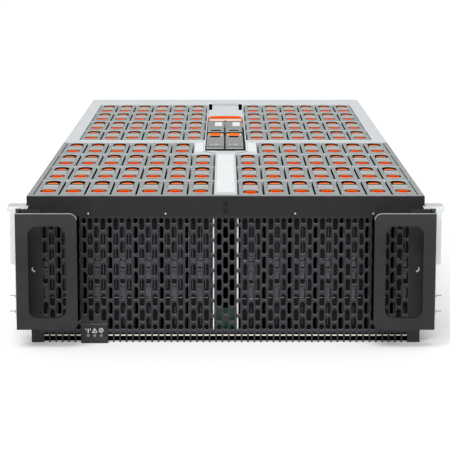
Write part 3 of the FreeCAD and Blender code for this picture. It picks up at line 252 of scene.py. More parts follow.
class FinishShop:
    """Makes one procedural material for each finish and keeps it."""

    def __init__(self) -> None:
        """Starts with no material made."""
        self.made: dict[str, bpy.types.Material] = {}

    def get(self, finish: Finish) -> bpy.types.Material:
        """Gives the material of a finish, and makes it the first time.

        Args:
            finish: what the surface is.

        Returns:
            The material.
        """
        if finish.name not in self.made:
            self.made[finish.name] = self.build(finish)
        return self.made[finish.name]

    @staticmethod
    def add(tree: bpy.types.NodeTree, kind: str, links: dict | None = None,
            **settings) -> bpy.types.Node:
        """Adds a node, sets it up and links its inputs.

        Args:
            tree: the material's node tree.
            kind: the node's type name.
            links: input name to a value, or to the output socket that feeds it.
            settings: the node's own properties.

        Returns:
            The node.
        """
        node = tree.nodes.new(kind)
        for name, value in settings.items():
            setattr(node, name, value)
        for name, value in (links or {}).items():
            if isinstance(value, bpy.types.NodeSocket):
                tree.links.new(value, node.inputs[name])
            else:
                node.inputs[name].default_value = value
        return node

    def build(self, finish: Finish) -> bpy.types.Material:
        """Builds the shader of a finish: base colour, roughness and relief from its process.

        Args:
            finish: what the surface is.

        Returns:
            The new material.
        """
        material = bpy.data.materials.new(finish.name)
        material.use_nodes = True
        tree = material.node_tree
        tree.nodes.clear()
        out = self.add(tree, "ShaderNodeOutputMaterial")
        place = self.add(tree, "ShaderNodeTexCoord").outputs["Object"]
        cloud = self.cloud(tree, finish, place)
        fine = self.fine(tree, finish, place)
        tone = self.add(tree, "ShaderNodeValToRGB", {"Fac": cloud})
        tone.color_ramp.elements[0].position, tone.color_ramp.elements[1].position = 0.35, 0.65
        tone.color_ramp.elements[0].color = linear(finish.colour)
        tone.color_ramp.elements[1].color = linear(finish.drift)
        colour = tone.outputs["Color"]
        # Painted light: the tint is a lighter colour, mixed in by its share.
        if finish.tint:
            share = self.add(tree, "ShaderNodeAttribute", attribute_name="tint").outputs["Fac"]
            if finish.fade:
                height = self.add(tree, "ShaderNodeSeparateXYZ", {"Vector": place}).outputs["Z"]
                low, high = finish.fade
                share = self.add(tree, "ShaderNodeMapRange", {
                    "Value": height, "From Min": low, "From Max": high}).outputs["Result"]
            blend = self.add(tree, "ShaderNodeMix", {0: share, 6: colour, 7: linear(finish.tint)},
                             data_type="RGBA")
            colour = blend.outputs[2]
        sheen = self.add(tree, "ShaderNodeMapRange", {
            "Value": cloud, "To Min": finish.roughness - SHEEN_DRIFT,
            "To Max": finish.roughness + SHEEN_DRIFT})
        bump = self.add(tree, "ShaderNodeBump", {
            "Height": fine, "Strength": finish.relief, "Distance": finish.grain * BUMP_SHARE})
        shader = self.add(tree, "ShaderNodeBsdfPrincipled", {
            "Base Color": colour, "Roughness": sheen.outputs["Result"],
            "Normal": bump.outputs["Normal"], "Metallic": finish.metal,
            "Specular IOR Level": finish.gloss})
        tree.links.new(shader.outputs["BSDF"], out.inputs["Surface"])
        return material

    def cloud(self, tree: bpy.types.NodeTree, finish: Finish,
              place: bpy.types.NodeSocket) -> bpy.types.NodeSocket:
        """Slow drift of a surface's colour and gloss.

        Args:
            tree: the material's node tree.
            finish: what the surface is.
            place: the position that the pattern follows.

        Returns:
            A socket from 0 to 1.
        """
        if finish.process is Process.BRUSHED:
            lines = self.add(tree, "ShaderNodeMapping", {
                "Vector": place, "Scale": (1.0, 0.02, 1.0)})
            place = lines.outputs["Vector"]
        # the drift is much coarser than the grain, so that it shows at the size of the render
        coarse = {Process.SHEET: 1.0, Process.BRUSHED: 2.0,
                  Process.BOARD: 0.6}.get(finish.process, 25.0)
        noise = self.add(tree, "ShaderNodeTexNoise", {
            "Vector": place, "Scale": 1.0 / (finish.grain * coarse),
            "Detail": 4.0, "Roughness": 0.55})
        return noise.outputs["Fac"]

    def fine(self, tree: bpy.types.NodeTree, finish: Finish,
             place: bpy.types.NodeSocket) -> bpy.types.NodeSocket:
        """Fine relief of a process: paint texture, spangle, mould grain or drawn lines.

        Args:
            tree: the material's node tree.
            finish: what the surface is.
            place: the position that the pattern follows.

        Returns:
            A socket that the bump reads as a height.
        """
        if finish.process in (Process.SHEET, Process.CASTING):
            cells = self.add(tree, "ShaderNodeTexVoronoi", {
                "Vector": place, "Scale": 1.0 / finish.grain})
            return cells.outputs["Distance"]
        if finish.process is Process.BOARD:
            tracks = self.add(tree, "ShaderNodeTexBrick", {
                "Vector": place, "Scale": 1.0 / finish.grain})
            return tracks.outputs["Fac"]
        if finish.process is Process.BRUSHED:
            stretch = self.add(tree, "ShaderNodeMapping", {
                "Vector": place, "Scale": (1.0, 0.01, 1.0)})
            place = stretch.outputs["Vector"]
        noise = self.add(tree, "ShaderNodeTexNoise", {
            "Vector": place, "Scale": 1.0 / finish.grain, "Detail": 2.0})
        return noise.outputs["Fac"]


SHOP = FinishShop()


# ---- shapes --------------------------------------------------------------------------------
def bend(centre: Point, radius: Point, start: float, end: float, steps: int) -> list[Point]:
    """Points along a round or oval bend.

    Args:
        centre: middle of the bend.
        radius: its half width and half height.
        start: first angle in degrees, counted from the first axis.
        end: last angle in degrees.
        steps: how many points it gets.

    Returns:
        The points, first to last.
    """
    turns = [math.radians(start + (end - start) * i / (steps - 1)) for i in range(steps)]
    return [(centre[0] + radius[0] * math.cos(a), centre[1] + radius[1] * math.sin(a))
            for a in turns]


def rounded(across: Span, up: Span, radius: float, steps: int = 4) -> list[Point]:
    """Outline of a rectangle with round corners.

    Args:
        across: lowest and highest first coordinate.
        up: lowest and highest second coordinate.
        radius: radius of each corner.
        steps: points in each corner.

    Returns:
        The outline, anticlockwise.
    """
    (x0, x1), (y0, y1), r = across, up, (radius, radius)
    corners = ((x1 - radius, y1 - radius), (x0 + radius, y1 - radius),
               (x0 + radius, y0 + radius), (x1 - radius, y0 + radius))
    points = []
    for quarter, corner in enumerate(corners):
        points += bend(corner, r, 90 * quarter, 90 * quarter + 90, steps)
    return points


def sided(side: int, span: Span) -> Span:
    """Puts a range of X that is given for the right side on either side.

    Args:
        side: 1 for the right side and -1 for the left.
        span: the range on the right.

    Returns:
        The range on that side, lowest first.
    """
    first, last = sorted(side * x for x in span)
    return first, last


def shifted(start: float, span: Span) -> Span:
    """Moves a range along by a start value."""
    return start + span[0], start + span[1]


def shrunk(span: Span, by: float) -> Span:
    """Takes a length off both ends of a range."""
    return span[0] + by, span[1] - by


def about(middle: float, half: float) -> Span:
    """Gives the range that reaches a half width to each side of a middle."""
    return middle - half, middle + half


class Axis(Enum):
    """Direction in which an outline is drawn out, with the two axes that the outline uses."""

    X = (1, 2, 0)
    Y = (0, 2, 1)
    Z = (0, 1, 2)


class Workpiece:
    """A mesh under construction, in the row frame."""

    def __init__(self) -> None:
        """Starts with an empty mesh."""
        self.mesh = bmesh.new()

    def prism(self, outline: Sequence[Point], axis: Axis, along: Span) -> "Workpiece":
        """Draws a closed outline out into a solid.

        Args:
            outline: its corners in order.
            axis: the way it is drawn out.
            along: where the solid starts and ends on that axis.

        Returns:
            This workpiece.
        """
        a, b, c = axis.value
        rings = []
        for level in along:
            ring = []
            for p, q in outline:
                co = [0.0, 0.0, 0.0]
                co[a], co[b], co[c] = p, q, level
                ring.append(self.mesh.verts.new(co))
            rings.append(ring)
        self.mesh.faces.new(rings[0])
        self.mesh.faces.new(rings[1][::-1])
        for i in range(len(outline)):
            j = (i + 1) % len(outline)
            self.mesh.faces.new((rings[0][i], rings[1][i], rings[1][j], rings[0][j]))
        return self

    def block(self, x: Span, y: Span, z: Span) -> "Workpiece":
        """Adds a block between two X, two Y and two Z values.

        Args:
            x: lowest and highest X.
            y: lowest and highest Y.
            z: lowest and highest Z.

        Returns:
            This workpiece.
        """
        return self.prism([(x[0], y[0]), (x[1], y[0]), (x[1], y[1]), (x[0], y[1])], Axis.Z, z)

    def wall(self, outline: Sequence[Point], levels: Span) -> "Workpiece":
        """Adds the upright wall of a closed outline, with no top or bottom.

        Args:
            outline: (x, y) corners in order.
            levels: lowest and highest Z.

        Returns:
            This workpiece.
        """
        rings = [[self.mesh.verts.new((x, y, z)) for x, y in outline] for z in levels]
        for i in range(len(outline)):
            j = (i + 1) % len(outline)
            self.mesh.faces.new((rings[0][i], rings[1][i], rings[1][j], rings[0][j]))
        return self

    def repeat(self, places: Iterable[Matrix]) -> "Workpiece":
        """Copies what is there to each place, and leaves no copy at the start.

        Args:
            places: the move of each copy.

        Returns:
            This workpiece.
        """
        source = list(self.mesh.verts) + list(self.mesh.edges) + list(self.mesh.faces)
        for place in places:
            copy = bmesh.ops.duplicate(self.mesh, geom=source)["geom"]
            verts = [v for v in copy if isinstance(v, bmesh.types.BMVert)]
            bmesh.ops.transform(self.mesh, matrix=place, verts=verts)
        first = [v for v in source if isinstance(v, bmesh.types.BMVert)]
        bmesh.ops.delete(self.mesh, geom=first, context="VERTS")
        return self

    def done(self, name: str, finish: Finish, body: str, slot: str, edge: float = 0.0,
             replaces: Sequence[str] = ()) -> bpy.types.Object:
        """Turns the workpiece into a piece of the part.

        Args:
            name: the piece's name.
            finish: its surface.
            body: the CAD body that it moves with.
            slot: the record's material slot; not used.
            edge: width of the small bevel along its sharp edges.
            replaces: CAD nodes that it stands for.

        Returns:
            The new object.
        """
        bmesh.ops.recalc_face_normals(self.mesh, faces=self.mesh.faces)
        data = bpy.data.meshes.new(name)
        self.mesh.to_mesh(data)
        self.mesh.free()
        return dress(bpy.data.objects.new(name, data), finish, body, edge, replaces)


def dress(piece: bpy.types.Object, finish: Finish, body: str, edge: float = 0.0,
          replaces: Sequence[str] = ()) -> bpy.types.Object:
    """Gives a new piece its finish, its body and its softened edges.

    Args:
        piece: the new object.
        finish: its surface.
        body: the CAD body that it moves with.
        edge: width of the small bevel along its sharp edges.
        replaces: CAD nodes that it stands for.

    Returns:
        The same object.
    """
    bpy.context.collection.objects.link(piece)
    piece.data.materials.clear()
    piece.data.materials.append(SHOP.get(finish))
    if edge:
        soften(piece, edge)
    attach(piece, body)
    if replaces:
        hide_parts(*replaces)
    LOG.info("piece %s on %s", piece.name, body)
    return piece


def soften(piece: bpy.types.Object, width: float) -> None:
    """Rounds a piece's sharp edges a little, so that they catch the light.

    Args:
        piece: the object.
        width: width of the bevel.
    """
    bevel = piece.modifiers.new("edge", "BEVEL")
    bevel.width = width
    bevel.segments = 2
    bevel.limit_method = "ANGLE"
    bevel.angle_limit = math.radians(35)
    bevel.harden_normals = False


def plate(name: str, outlines: Sequence[Sequence[Point]], thick: float,
          edge: float) -> bpy.types.Object:
    """Makes a flat plate with holes: the first outline is its edge and the others are its holes.

    Args:
        name: the object's name.
        outlines: closed outlines in one plane.
        thick: thickness of the plate.
        edge: size of the bevel round every edge.

    Returns:
        The plate, lying in XY with its middle at Z = 0, not yet linked.
    """
    curve = bpy.data.curves.new(name, "CURVE")
    curve.dimensions = "2D"
    curve.fill_mode = "BOTH"
    curve.extrude = thick / 2 - edge
    curve.bevel_depth = edge
    curve.bevel_resolution = 0
    curve.offset = -edge
    for outline in outlines:
        spline = curve.splines.new("POLY")
        spline.points.add(len(outline) - 1)
        for point, (x, y) in zip(spline.points, outline):
            point.co = (x, y, 0.0, 1.0)
        spline.use_cyclic_u = True
    maker = bpy.data.objects.new(name, curve)
    data = bpy.data.meshes.new_from_object(maker)
    data.name = name
    bpy.data.objects.remove(maker)
    return bpy.data.objects.new(name, data)


def facing_front(piece: bpy.types.Object, depth: float) -> bpy.types.Object:
    """Stands a plate up so that its plane faces the front, at a depth of the shelf.

    Args:
        piece: a plate that lies in XY.
        depth: Y of its middle.

    Returns:
        The same object, with the move applied to its mesh.
    """
    piece.data.transform(Matrix.Translation((0, depth, 0)) @ Matrix.Rotation(math.pi / 2, 4, "X"))
    return piece


def lifted(piece: bpy.types.Object, height: float) -> bpy.types.Object:
    """Lifts a plate that lies flat.

    Args:
        piece: a plate that lies in XY.
        height: Z of its middle.

    Returns:
        The same object, with the move applied to its mesh.
    """
    piece.data.transform(Matrix.Translation((0, 0, height)))
    return piece


def spread(piece: bpy.types.Object, places: Iterable[Matrix]) -> None:
    """Copies a piece's mesh to each place, and leaves no copy at the start.

    Args:
        piece: the object.
        places: the move of each copy.
    """
    work = Workpiece()
    work.mesh.from_mesh(piece.data)
    work.repeat(places).mesh.to_mesh(piece.data)
    work.mesh.free()


# ---- drive carriers ------------------------------------------------------------------------
@dataclass
class CarrierField:
    """The drive carriers: their tops, wells, bridges, pinch pads and front faces.

    Places along a carrier are measured from its front edge, and heights from its face.
    """

    pitch: float = mm(29.07)
    cad_width: float = mm(27.5)
    width: float = mm(26.8)
    length: float = mm(112.5)
    plate: float = mm(0.5)
    tall: float = mm(161.1)
    inset: float = mm(0.4)
    well_half: float = mm(9.1)
    front_well: Span = (mm(18.0), mm(44.6))
    rear_well: Span = (mm(84.0), mm(111.6))
    rear_tips: float = mm(94.0)
    rear_taper: float = mm(1.2)
    well_floor: float = mm(9.0)
    groove: Span = (mm(77.0), mm(83.2))
    bridge: Span = (mm(47.5), mm(76.4))
    bridge_half: float = mm(9.0)
    bridge_rise: float = mm(0.2)
    side_groove: float = mm(0.45)
    proud: float = mm(0.12)
    travel: float = mm(3.5)
    lip: Span = (mm(14.8), mm(17.4))
    dish: Span = (mm(11.0), mm(14.8))
    front_pad: Span = (mm(18.4), mm(41.2))
    rear_pad: Span = (mm(73.0), mm(100.5))
    pad_half: Point = (mm(7.1), mm(6.6))
    pad_drop: float = mm(0.5)
    blunt: Point = (2.5, 2.0)                     # of the front pad and of the rear pad
    front_face: Span = (mm(-0.9), mm(0.3))        # a pad's height at its two ends
    rear_face: Span = (mm(0.1), mm(0.1))
    # The pads' pale tint is painted light: paler orange where a pad's top and sides face the
    # light.
    front_tint: Span = (-0.9, 0.8)                # share of the pale tint at its two ends
    rear_tint: Span = (2.2, -0.9)
    front_room: float = 0.6                       # share of the travel that shortens the front pad
    well_play: float = mm(0.3)
    pale_from: float = 0.8                        # share of its half width where a pad turns pale
    pale_rim: float = 0.3
    drive_half: float = mm(13.05)
    rail: float = mm(0.7)
    per_side: tuple[int, ...] = (7, 7, 7, 6, 6, 6, 6, 6)
    sunk: tuple[int, int, float] = (1, 0, 0.9)    # row, place from the middle, degrees
    top_edge: float = mm(0.12)
    hem: float = mm(0.3)
    hem_share: float = 0.985
    dish_half: float = mm(6.4)
    lip_half: float = mm(6.8)
    rib: Span = (mm(-4.5), mm(-1.0))              # light rib, from the bridge's rear edge
    rib_in: float = mm(0.4)
    frame_play: float = mm(0.3)                   # frame of a carrier that lifts out
    post: float = mm(9.5)
    posts_from: Point = (mm(5), mm(10))           # from its middle and from its rear edge
    rail_tall: float = mm(8)
    rail_drop: float = mm(95)
    end_wall: float = mm(3.0)
    end_feet: Point = (mm(4), mm(30))
    tray_in: float = mm(1.0)
    tray: Span = (mm(0.01), mm(0.8))
    face_foot: float = mm(-167.5)
    face: tuple[Span, Span] = ((mm(0.2), mm(0.4)), (mm(12), mm(158)))
    face_proud: Span = (mm(0.05), mm(0.2))
    steps: tuple[Span, ...] = ((50.5, 63.7), (71.0, 81.0), (84.9, 92.0), (95.0, 97.7))
    step_x: Span = (mm(-3.6), mm(2.6))
    ribs: tuple[tuple[float, ...], ...] = (       # middle, width and two heights of each rib
        (6.2, 0.7, 59.0, 125.0), (-8.9, 0.5, 59.0, 125.0), (0.4, 0.5, 100.0, 140.0),
        (0.4, 0.5, 18.0, 38.0), (11.6, 0.4, 30.0, 150.0), (-11.6, 0.4, 30.0, 150.0))
    dash_x: tuple[Span, ...] = ((-11.0, -5.6), (-2.0, 2.0), (5.0, 8.8))
    dash_z: tuple[float, ...] = (94.0, 49.3)
    dash_half: float = 0.35

    def build(self) -> None:
        """Builds every carrier: a set for each row and one for each of the two that lift out."""
        for row, count in enumerate(self.per_side, 1):
            low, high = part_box(f"carriers_row_{row}")
            lone = self.lone_middle(row)
            places = []
            for side in (-1, 1):
                for i in range(count):
                    x = side * (high.x - self.cad_width / 2 - i * self.pitch)
                    if lone is None or abs(x - lone) > self.pitch / 2:
                        sunk = (row, count - 1 - i, side) == (*self.sunk[:2], 1)
                        dip = self.sunk[2] if sunk else 0.0
                        places.append(self.place(x, low.y, high.z, dip))
            self.tops(f"row_{row}", places, "enclosure", [f"carriers_row_{row}"])
            self.pads(f"row_{row}", places, ("enclosure", "enclosure"), ())
            # Painted shade: a black block under each carrier's top, dark in the gaps and wells.
            Workpiece().block(
                shrunk(about(0.0, self.width / 2), self.inset),
                shrunk((0.0, self.length), self.inset), (-self.tall, -self.well_floor),
            ).repeat(places).done(f"carrier_body_row_{row}", PAINTED_SHADE_BLACK, "enclosure",
                                  "carrier_grey")
            if row == 1:
                self.faces("row_1", places, "enclosure")
        for letter in "ab":
            low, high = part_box(f"carrier_{letter}")
            places = [self.place((low.x + high.x) / 2, low.y, high.z, 0.0)]
            pads = (f"front_pad_{letter}", f"rear_pad_{letter}")
            self.tops(letter, places, f"drive_unit_{letter}", [f"carrier_{letter}"])
            self.pads(letter, places, pads, pads)
            self.frame(letter, places)
            self.faces(letter, places, f"drive_unit_{letter}")

    def place(self, x: float, y: float, z: float, sunk: float) -> Matrix:
        """Where a carrier stands.

        Args:
            x: its middle.
            y: its front edge.
            z: its face.
            sunk: how many degrees its front dips, about its rear edge.

        Returns:
            The move from the shelf's origin.
        """
        hinge = Matrix.Translation((0, self.length, 0))
        dip = hinge @ Matrix.Rotation(math.radians(sunk), 4, "X") @ hinge.inverted()
        return Matrix.Translation((x, y, z)) @ dip

    @staticmethod
    def lone_middle(row: int) -> float | None:
        """X of the carrier of a row that lifts out by itself.

        Args:
            row: the row's number.

        Returns:
            Its middle, or None where the row has no such carrier.
        """
        letter = {1: "a", 5: "b"}.get(row)
        if letter is None:
            return None
        low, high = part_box(f"carrier_{letter}")
        return (low.x + high.x) / 2

    def oval(self, ends: Span, half: float, steps: int = 28) -> list[Point]:
        """An oval seen from above.

        Args:
            ends: where it starts and ends along the carrier.
            half: its half width.
            steps: how many points it gets.

        Returns:
            The outline.
        """
        middle, reach = sum(ends) / 2, (ends[1] - ends[0]) / 2
        return bend((0.0, middle), (half, reach), 0, 360 - 360 / steps, steps)

    def rear_outline(self) -> list[Point]:
        """The rear well: straight in front, widest at its tips and bent behind them.

        Returns:
            The outline.
        """
        start, end = self.rear_well
        corner = self.well_half - self.rear_taper
        arc = bend((0.0, self.rear_tips), (self.well_half, end - self.rear_tips), 0, 180, 17)
        return [(-corner, start), (corner, start)] + arc

    def tops(self, tag: str, places: Sequence[Matrix], body: str, nodes: Sequence[str]) -> None:
        """Tops, well linings, bridges, grooves and lips of a set of carriers.

        Args:
            tag: what the pieces are called after.
            places: where each carrier stands.
            body: the CAD body that they move with.
            nodes: the CAD nodes that they stand for.
        """
        half, floor = self.width / 2, self.well_floor
        wells = [self.oval(self.front_well, self.well_half), self.rear_outline()]
        edge = [(-half, 0.0), (half, 0.0), (half, self.length), (-half, self.length)]
        top = plate(f"carrier_top_{tag}", [edge] + wells, self.plate, self.top_edge)
        spread(lifted(top, -self.plate / 2), places)
        dress(top, CARRIER_NYLON, body, replaces=nodes)
        ends = shrunk((0.0, self.length), self.hem)
        hem = [(x * self.hem_share, ends[0] if y == 0 else ends[1]) for x, y in edge]
        # Painted shade: black skirts round each carrier and black linings in its wells.
        skirt, lining = Workpiece().wall(hem, (-floor, -self.plate)), Workpiece()
        for outline in wells:
            lining.wall(outline, (-floor, -self.plate))
        y0, y1 = self.bridge
        across = about(0.0, self.bridge_half)
        bridge = Workpiece().prism(
            [(y0, -self.plate / 2), (y1, -self.plate / 2), (y1 - mm(1), self.bridge_rise),
             (y0 + mm(3), self.bridge_rise / 2), (y0, 0.0)], Axis.X, across)
        level = (-self.plate / 2, self.proud)
        groove = Workpiece().block(across, self.groove, level)
        for side in (-1, 1):
            x = side * (self.bridge_half + self.side_groove / 2)
            groove.block(about(x, self.side_groove / 2), (y0 + mm(6), y1), level)
        dish = Workpiece().prism(self.oval(self.dish, self.dish_half), Axis.Z, level)
        # Painted highlight: the light lip before the front well and the light rib at the bridge's
        # rear edge.
        lip = Workpiece().prism(self.oval(self.lip, self.lip_half), Axis.Z, level)
        lip.block(shrunk(across, self.rib_in), shifted(y1, self.rib),
                  (0.0, self.bridge_rise + self.proud / 2))
        for name, work, finish in (
                ("carrier_skirt", skirt, PAINTED_SHADE_BLACK), ("well_lining", lining, PAINTED_SHADE_BLACK),
                ("bridge", bridge, BRIDGE_NYLON), ("dish", dish, DISH_NYLON),
                ("groove", groove, GROOVE_NYLON), ("lip", lip, LIP_NYLON)):
            work.repeat(places).done(f"{name}_{tag}", finish, body, "carrier_grey")

    def frame(self, tag: str, places: Sequence[Matrix]) -> None:
        """Open sides of a carrier that lifts out, so that its drive shows.

        Args:
            tag: the carrier's letter.
            places: where it stands.
        """
        inner, outer = self.drive_half, self.drive_half + self.rail - self.frame_play
        floor, body = self.well_floor, f"drive_unit_{tag}"
        along, across = shrunk((0.0, self.length), self.inset), about(0.0, inner)
        half_post, last_post = self.posts_from
        front_foot, rear_foot = self.end_feet
        sides = Workpiece()
        for side in (-1, 1):
            x = sided(side, (inner, outer))
            for y in (self.inset, self.length / 2 - half_post, self.length - last_post):
                sides.block(x, (y, y + self.post), (-self.tall, -floor))
            for z in (-self.tall, -self.rail_drop):
                sides.block(x, along, (z, z + self.rail_tall))
        sides.block(across, (self.inset, self.end_wall), (-self.tall + front_foot, -floor))
        sides.block(across, (self.length - self.end_wall, along[1]),
                    (-self.tall + rear_foot, -floor))
        sides.repeat(places).done(f"carrier_frame_{tag}", CARRIER_NYLON, body, "carrier_grey",
                                  mm(0.15))
        # Painted shade: a black tray at the well's floor.
        Workpiece().block(
            across, shrunk((0.0, self.length), self.tray_in), shifted(-floor, self.tray),
        ).repeat(places).done(f"well_tray_{tag}", PAINTED_SHADE_BLACK, body, "carrier_grey")

    def faces(self, tag: str, places: Sequence[Matrix], body: str) -> None:
        """Front faces of the first row, with the ribs and the light dashes, painted highlights,
        that show through the panel.

        Args:
            tag: what the pieces are called after.
            places: where each carrier stands.
            body: the CAD body that they move with.
        """
        foot, proud = self.face_foot, self.face_proud
        skin, tall = self.face
        face = Workpiece().block(about(0.0, self.drive_half), skin, shifted(foot, tall))
        ribs, dashes = Workpiece(), Workpiece()
        for z0, z1 in self.steps:
            ribs.block(self.step_x, proud, (foot + mm(z0), foot + mm(z1)))
        for x, width, z0, z1 in self.ribs:
            ribs.block((mm(x - width / 2), mm(x + width / 2)), proud,
                       (foot + mm(z0), foot + mm(z1)))
        for z in self.dash_z:
            for x0, x1 in self.dash_x:
                dashes.block((mm(x0), mm(x1)), proud,
                             (foot + mm(z - self.dash_half), foot + mm(z + self.dash_half)))
        for name, work, finish in (("face", face, FACE_BLACK), ("rib", ribs, RIB_GREY),
                                   ("edge", dashes, COAT_HIGHLIGHT)):
            work.repeat(places).done(f"drive_{name}_{tag}", finish, body, "carrier_grey")

    def pads(self, tag: str, places: Sequence[Matrix], bodies: tuple[str, str],
             nodes: Sequence[str]) -> None:
        """The orange pinch pads in front of and behind each bridge.

        Args:
            tag: what the pieces are called after.
            places: where each carrier stands.
            bodies: the CAD bodies that the front pad and the rear pad move with.
            nodes: the CAD nodes that they stand for, front pad first.
        """
        room = self.travel if nodes else 0.0
        start, end = self.front_pad
        front, rear = Workpiece(), Workpiece()
        self.crown(front, (start, end - room * self.front_room), self.pad_half[0],
                   self.front_face, self.front_tint, self.blunt[0], 0.0)
        front.repeat(places).done(f"pinch_front_{tag}", RELEASE_ORANGE, bodies[0],
                                  "release_orange", replaces=nodes[:1])
        self.crown(rear, self.rear_pad, self.pad_half[1], self.rear_face, self.rear_tint,
                   self.blunt[1], self.rear_well[0] + self.well_play + room)
        rear.repeat(places).done(f"pinch_rear_{tag}", PALE_ORANGE, bodies[1], "release_orange",
                                 replaces=nodes[1:])

    def crown(self, work: Workpiece, ends: Span, half: float, levels: Span, tints: Span,
              blunt: float, cut: float, steps: int = 28) -> None:
        """A domed pad whose face rises along the carrier, with painted light that pales its colour
        along it and at its sides.

        Args:
            work: the workpiece that gets it.
            ends: where it starts and ends along the carrier.
            half: its half width.
            levels: height of its face at its start and at its end.
            tints: share of the pale painted light at its start and at its end.
            blunt: how blunt its outline is; 2 is an oval and more comes nearer to a rectangle.
            cut: where its front is cut off straight.
            steps: points round its rim.
        """
        tint = work.mesh.verts.layers.float.new("tint")
        middle, reach = sum(ends) / 2, (ends[1] - ends[0]) / 2
        rings = []
        for share, crown in ((1.0, -1.0), (1.0, 0.0), (0.86, 0.5), (0.6, 0.85), (0.3, 1.0)):
            ring = []
            for x, y in bend((0.0, 0.0), (1.0, 1.0), 0, 360 - 360 / steps, steps):
                swell = (abs(x) ** blunt + abs(y) ** blunt) ** (-1 / blunt) * share
                along = y * swell
                slope = (along + 1) / 2
                z = (levels[0] + (levels[1] - levels[0]) * slope
                     - self.pad_drop * (1 - max(crown, 0.0)))
                vert = work.mesh.verts.new((half * x * swell, max(middle + reach * along, cut),
                                            -self.well_floor if crown < 0 else z))
                pale = tints[0] + (tints[1] - tints[0]) * slope
                if abs(x * swell) > self.pale_from:
                    pale += self.pale_rim
                vert[tint] = min(1.0, max(0.0, pale))
                ring.append(vert)
            rings.append(ring)
        for lower, upper in zip(rings, rings[1:]):
            for i in range(steps):
                j = (i + 1) % steps
                work.mesh.faces.new((lower[i], lower[j], upper[j], upper[i])).smooth = True
        work.mesh.faces.new(rings[-1]).smooth = True


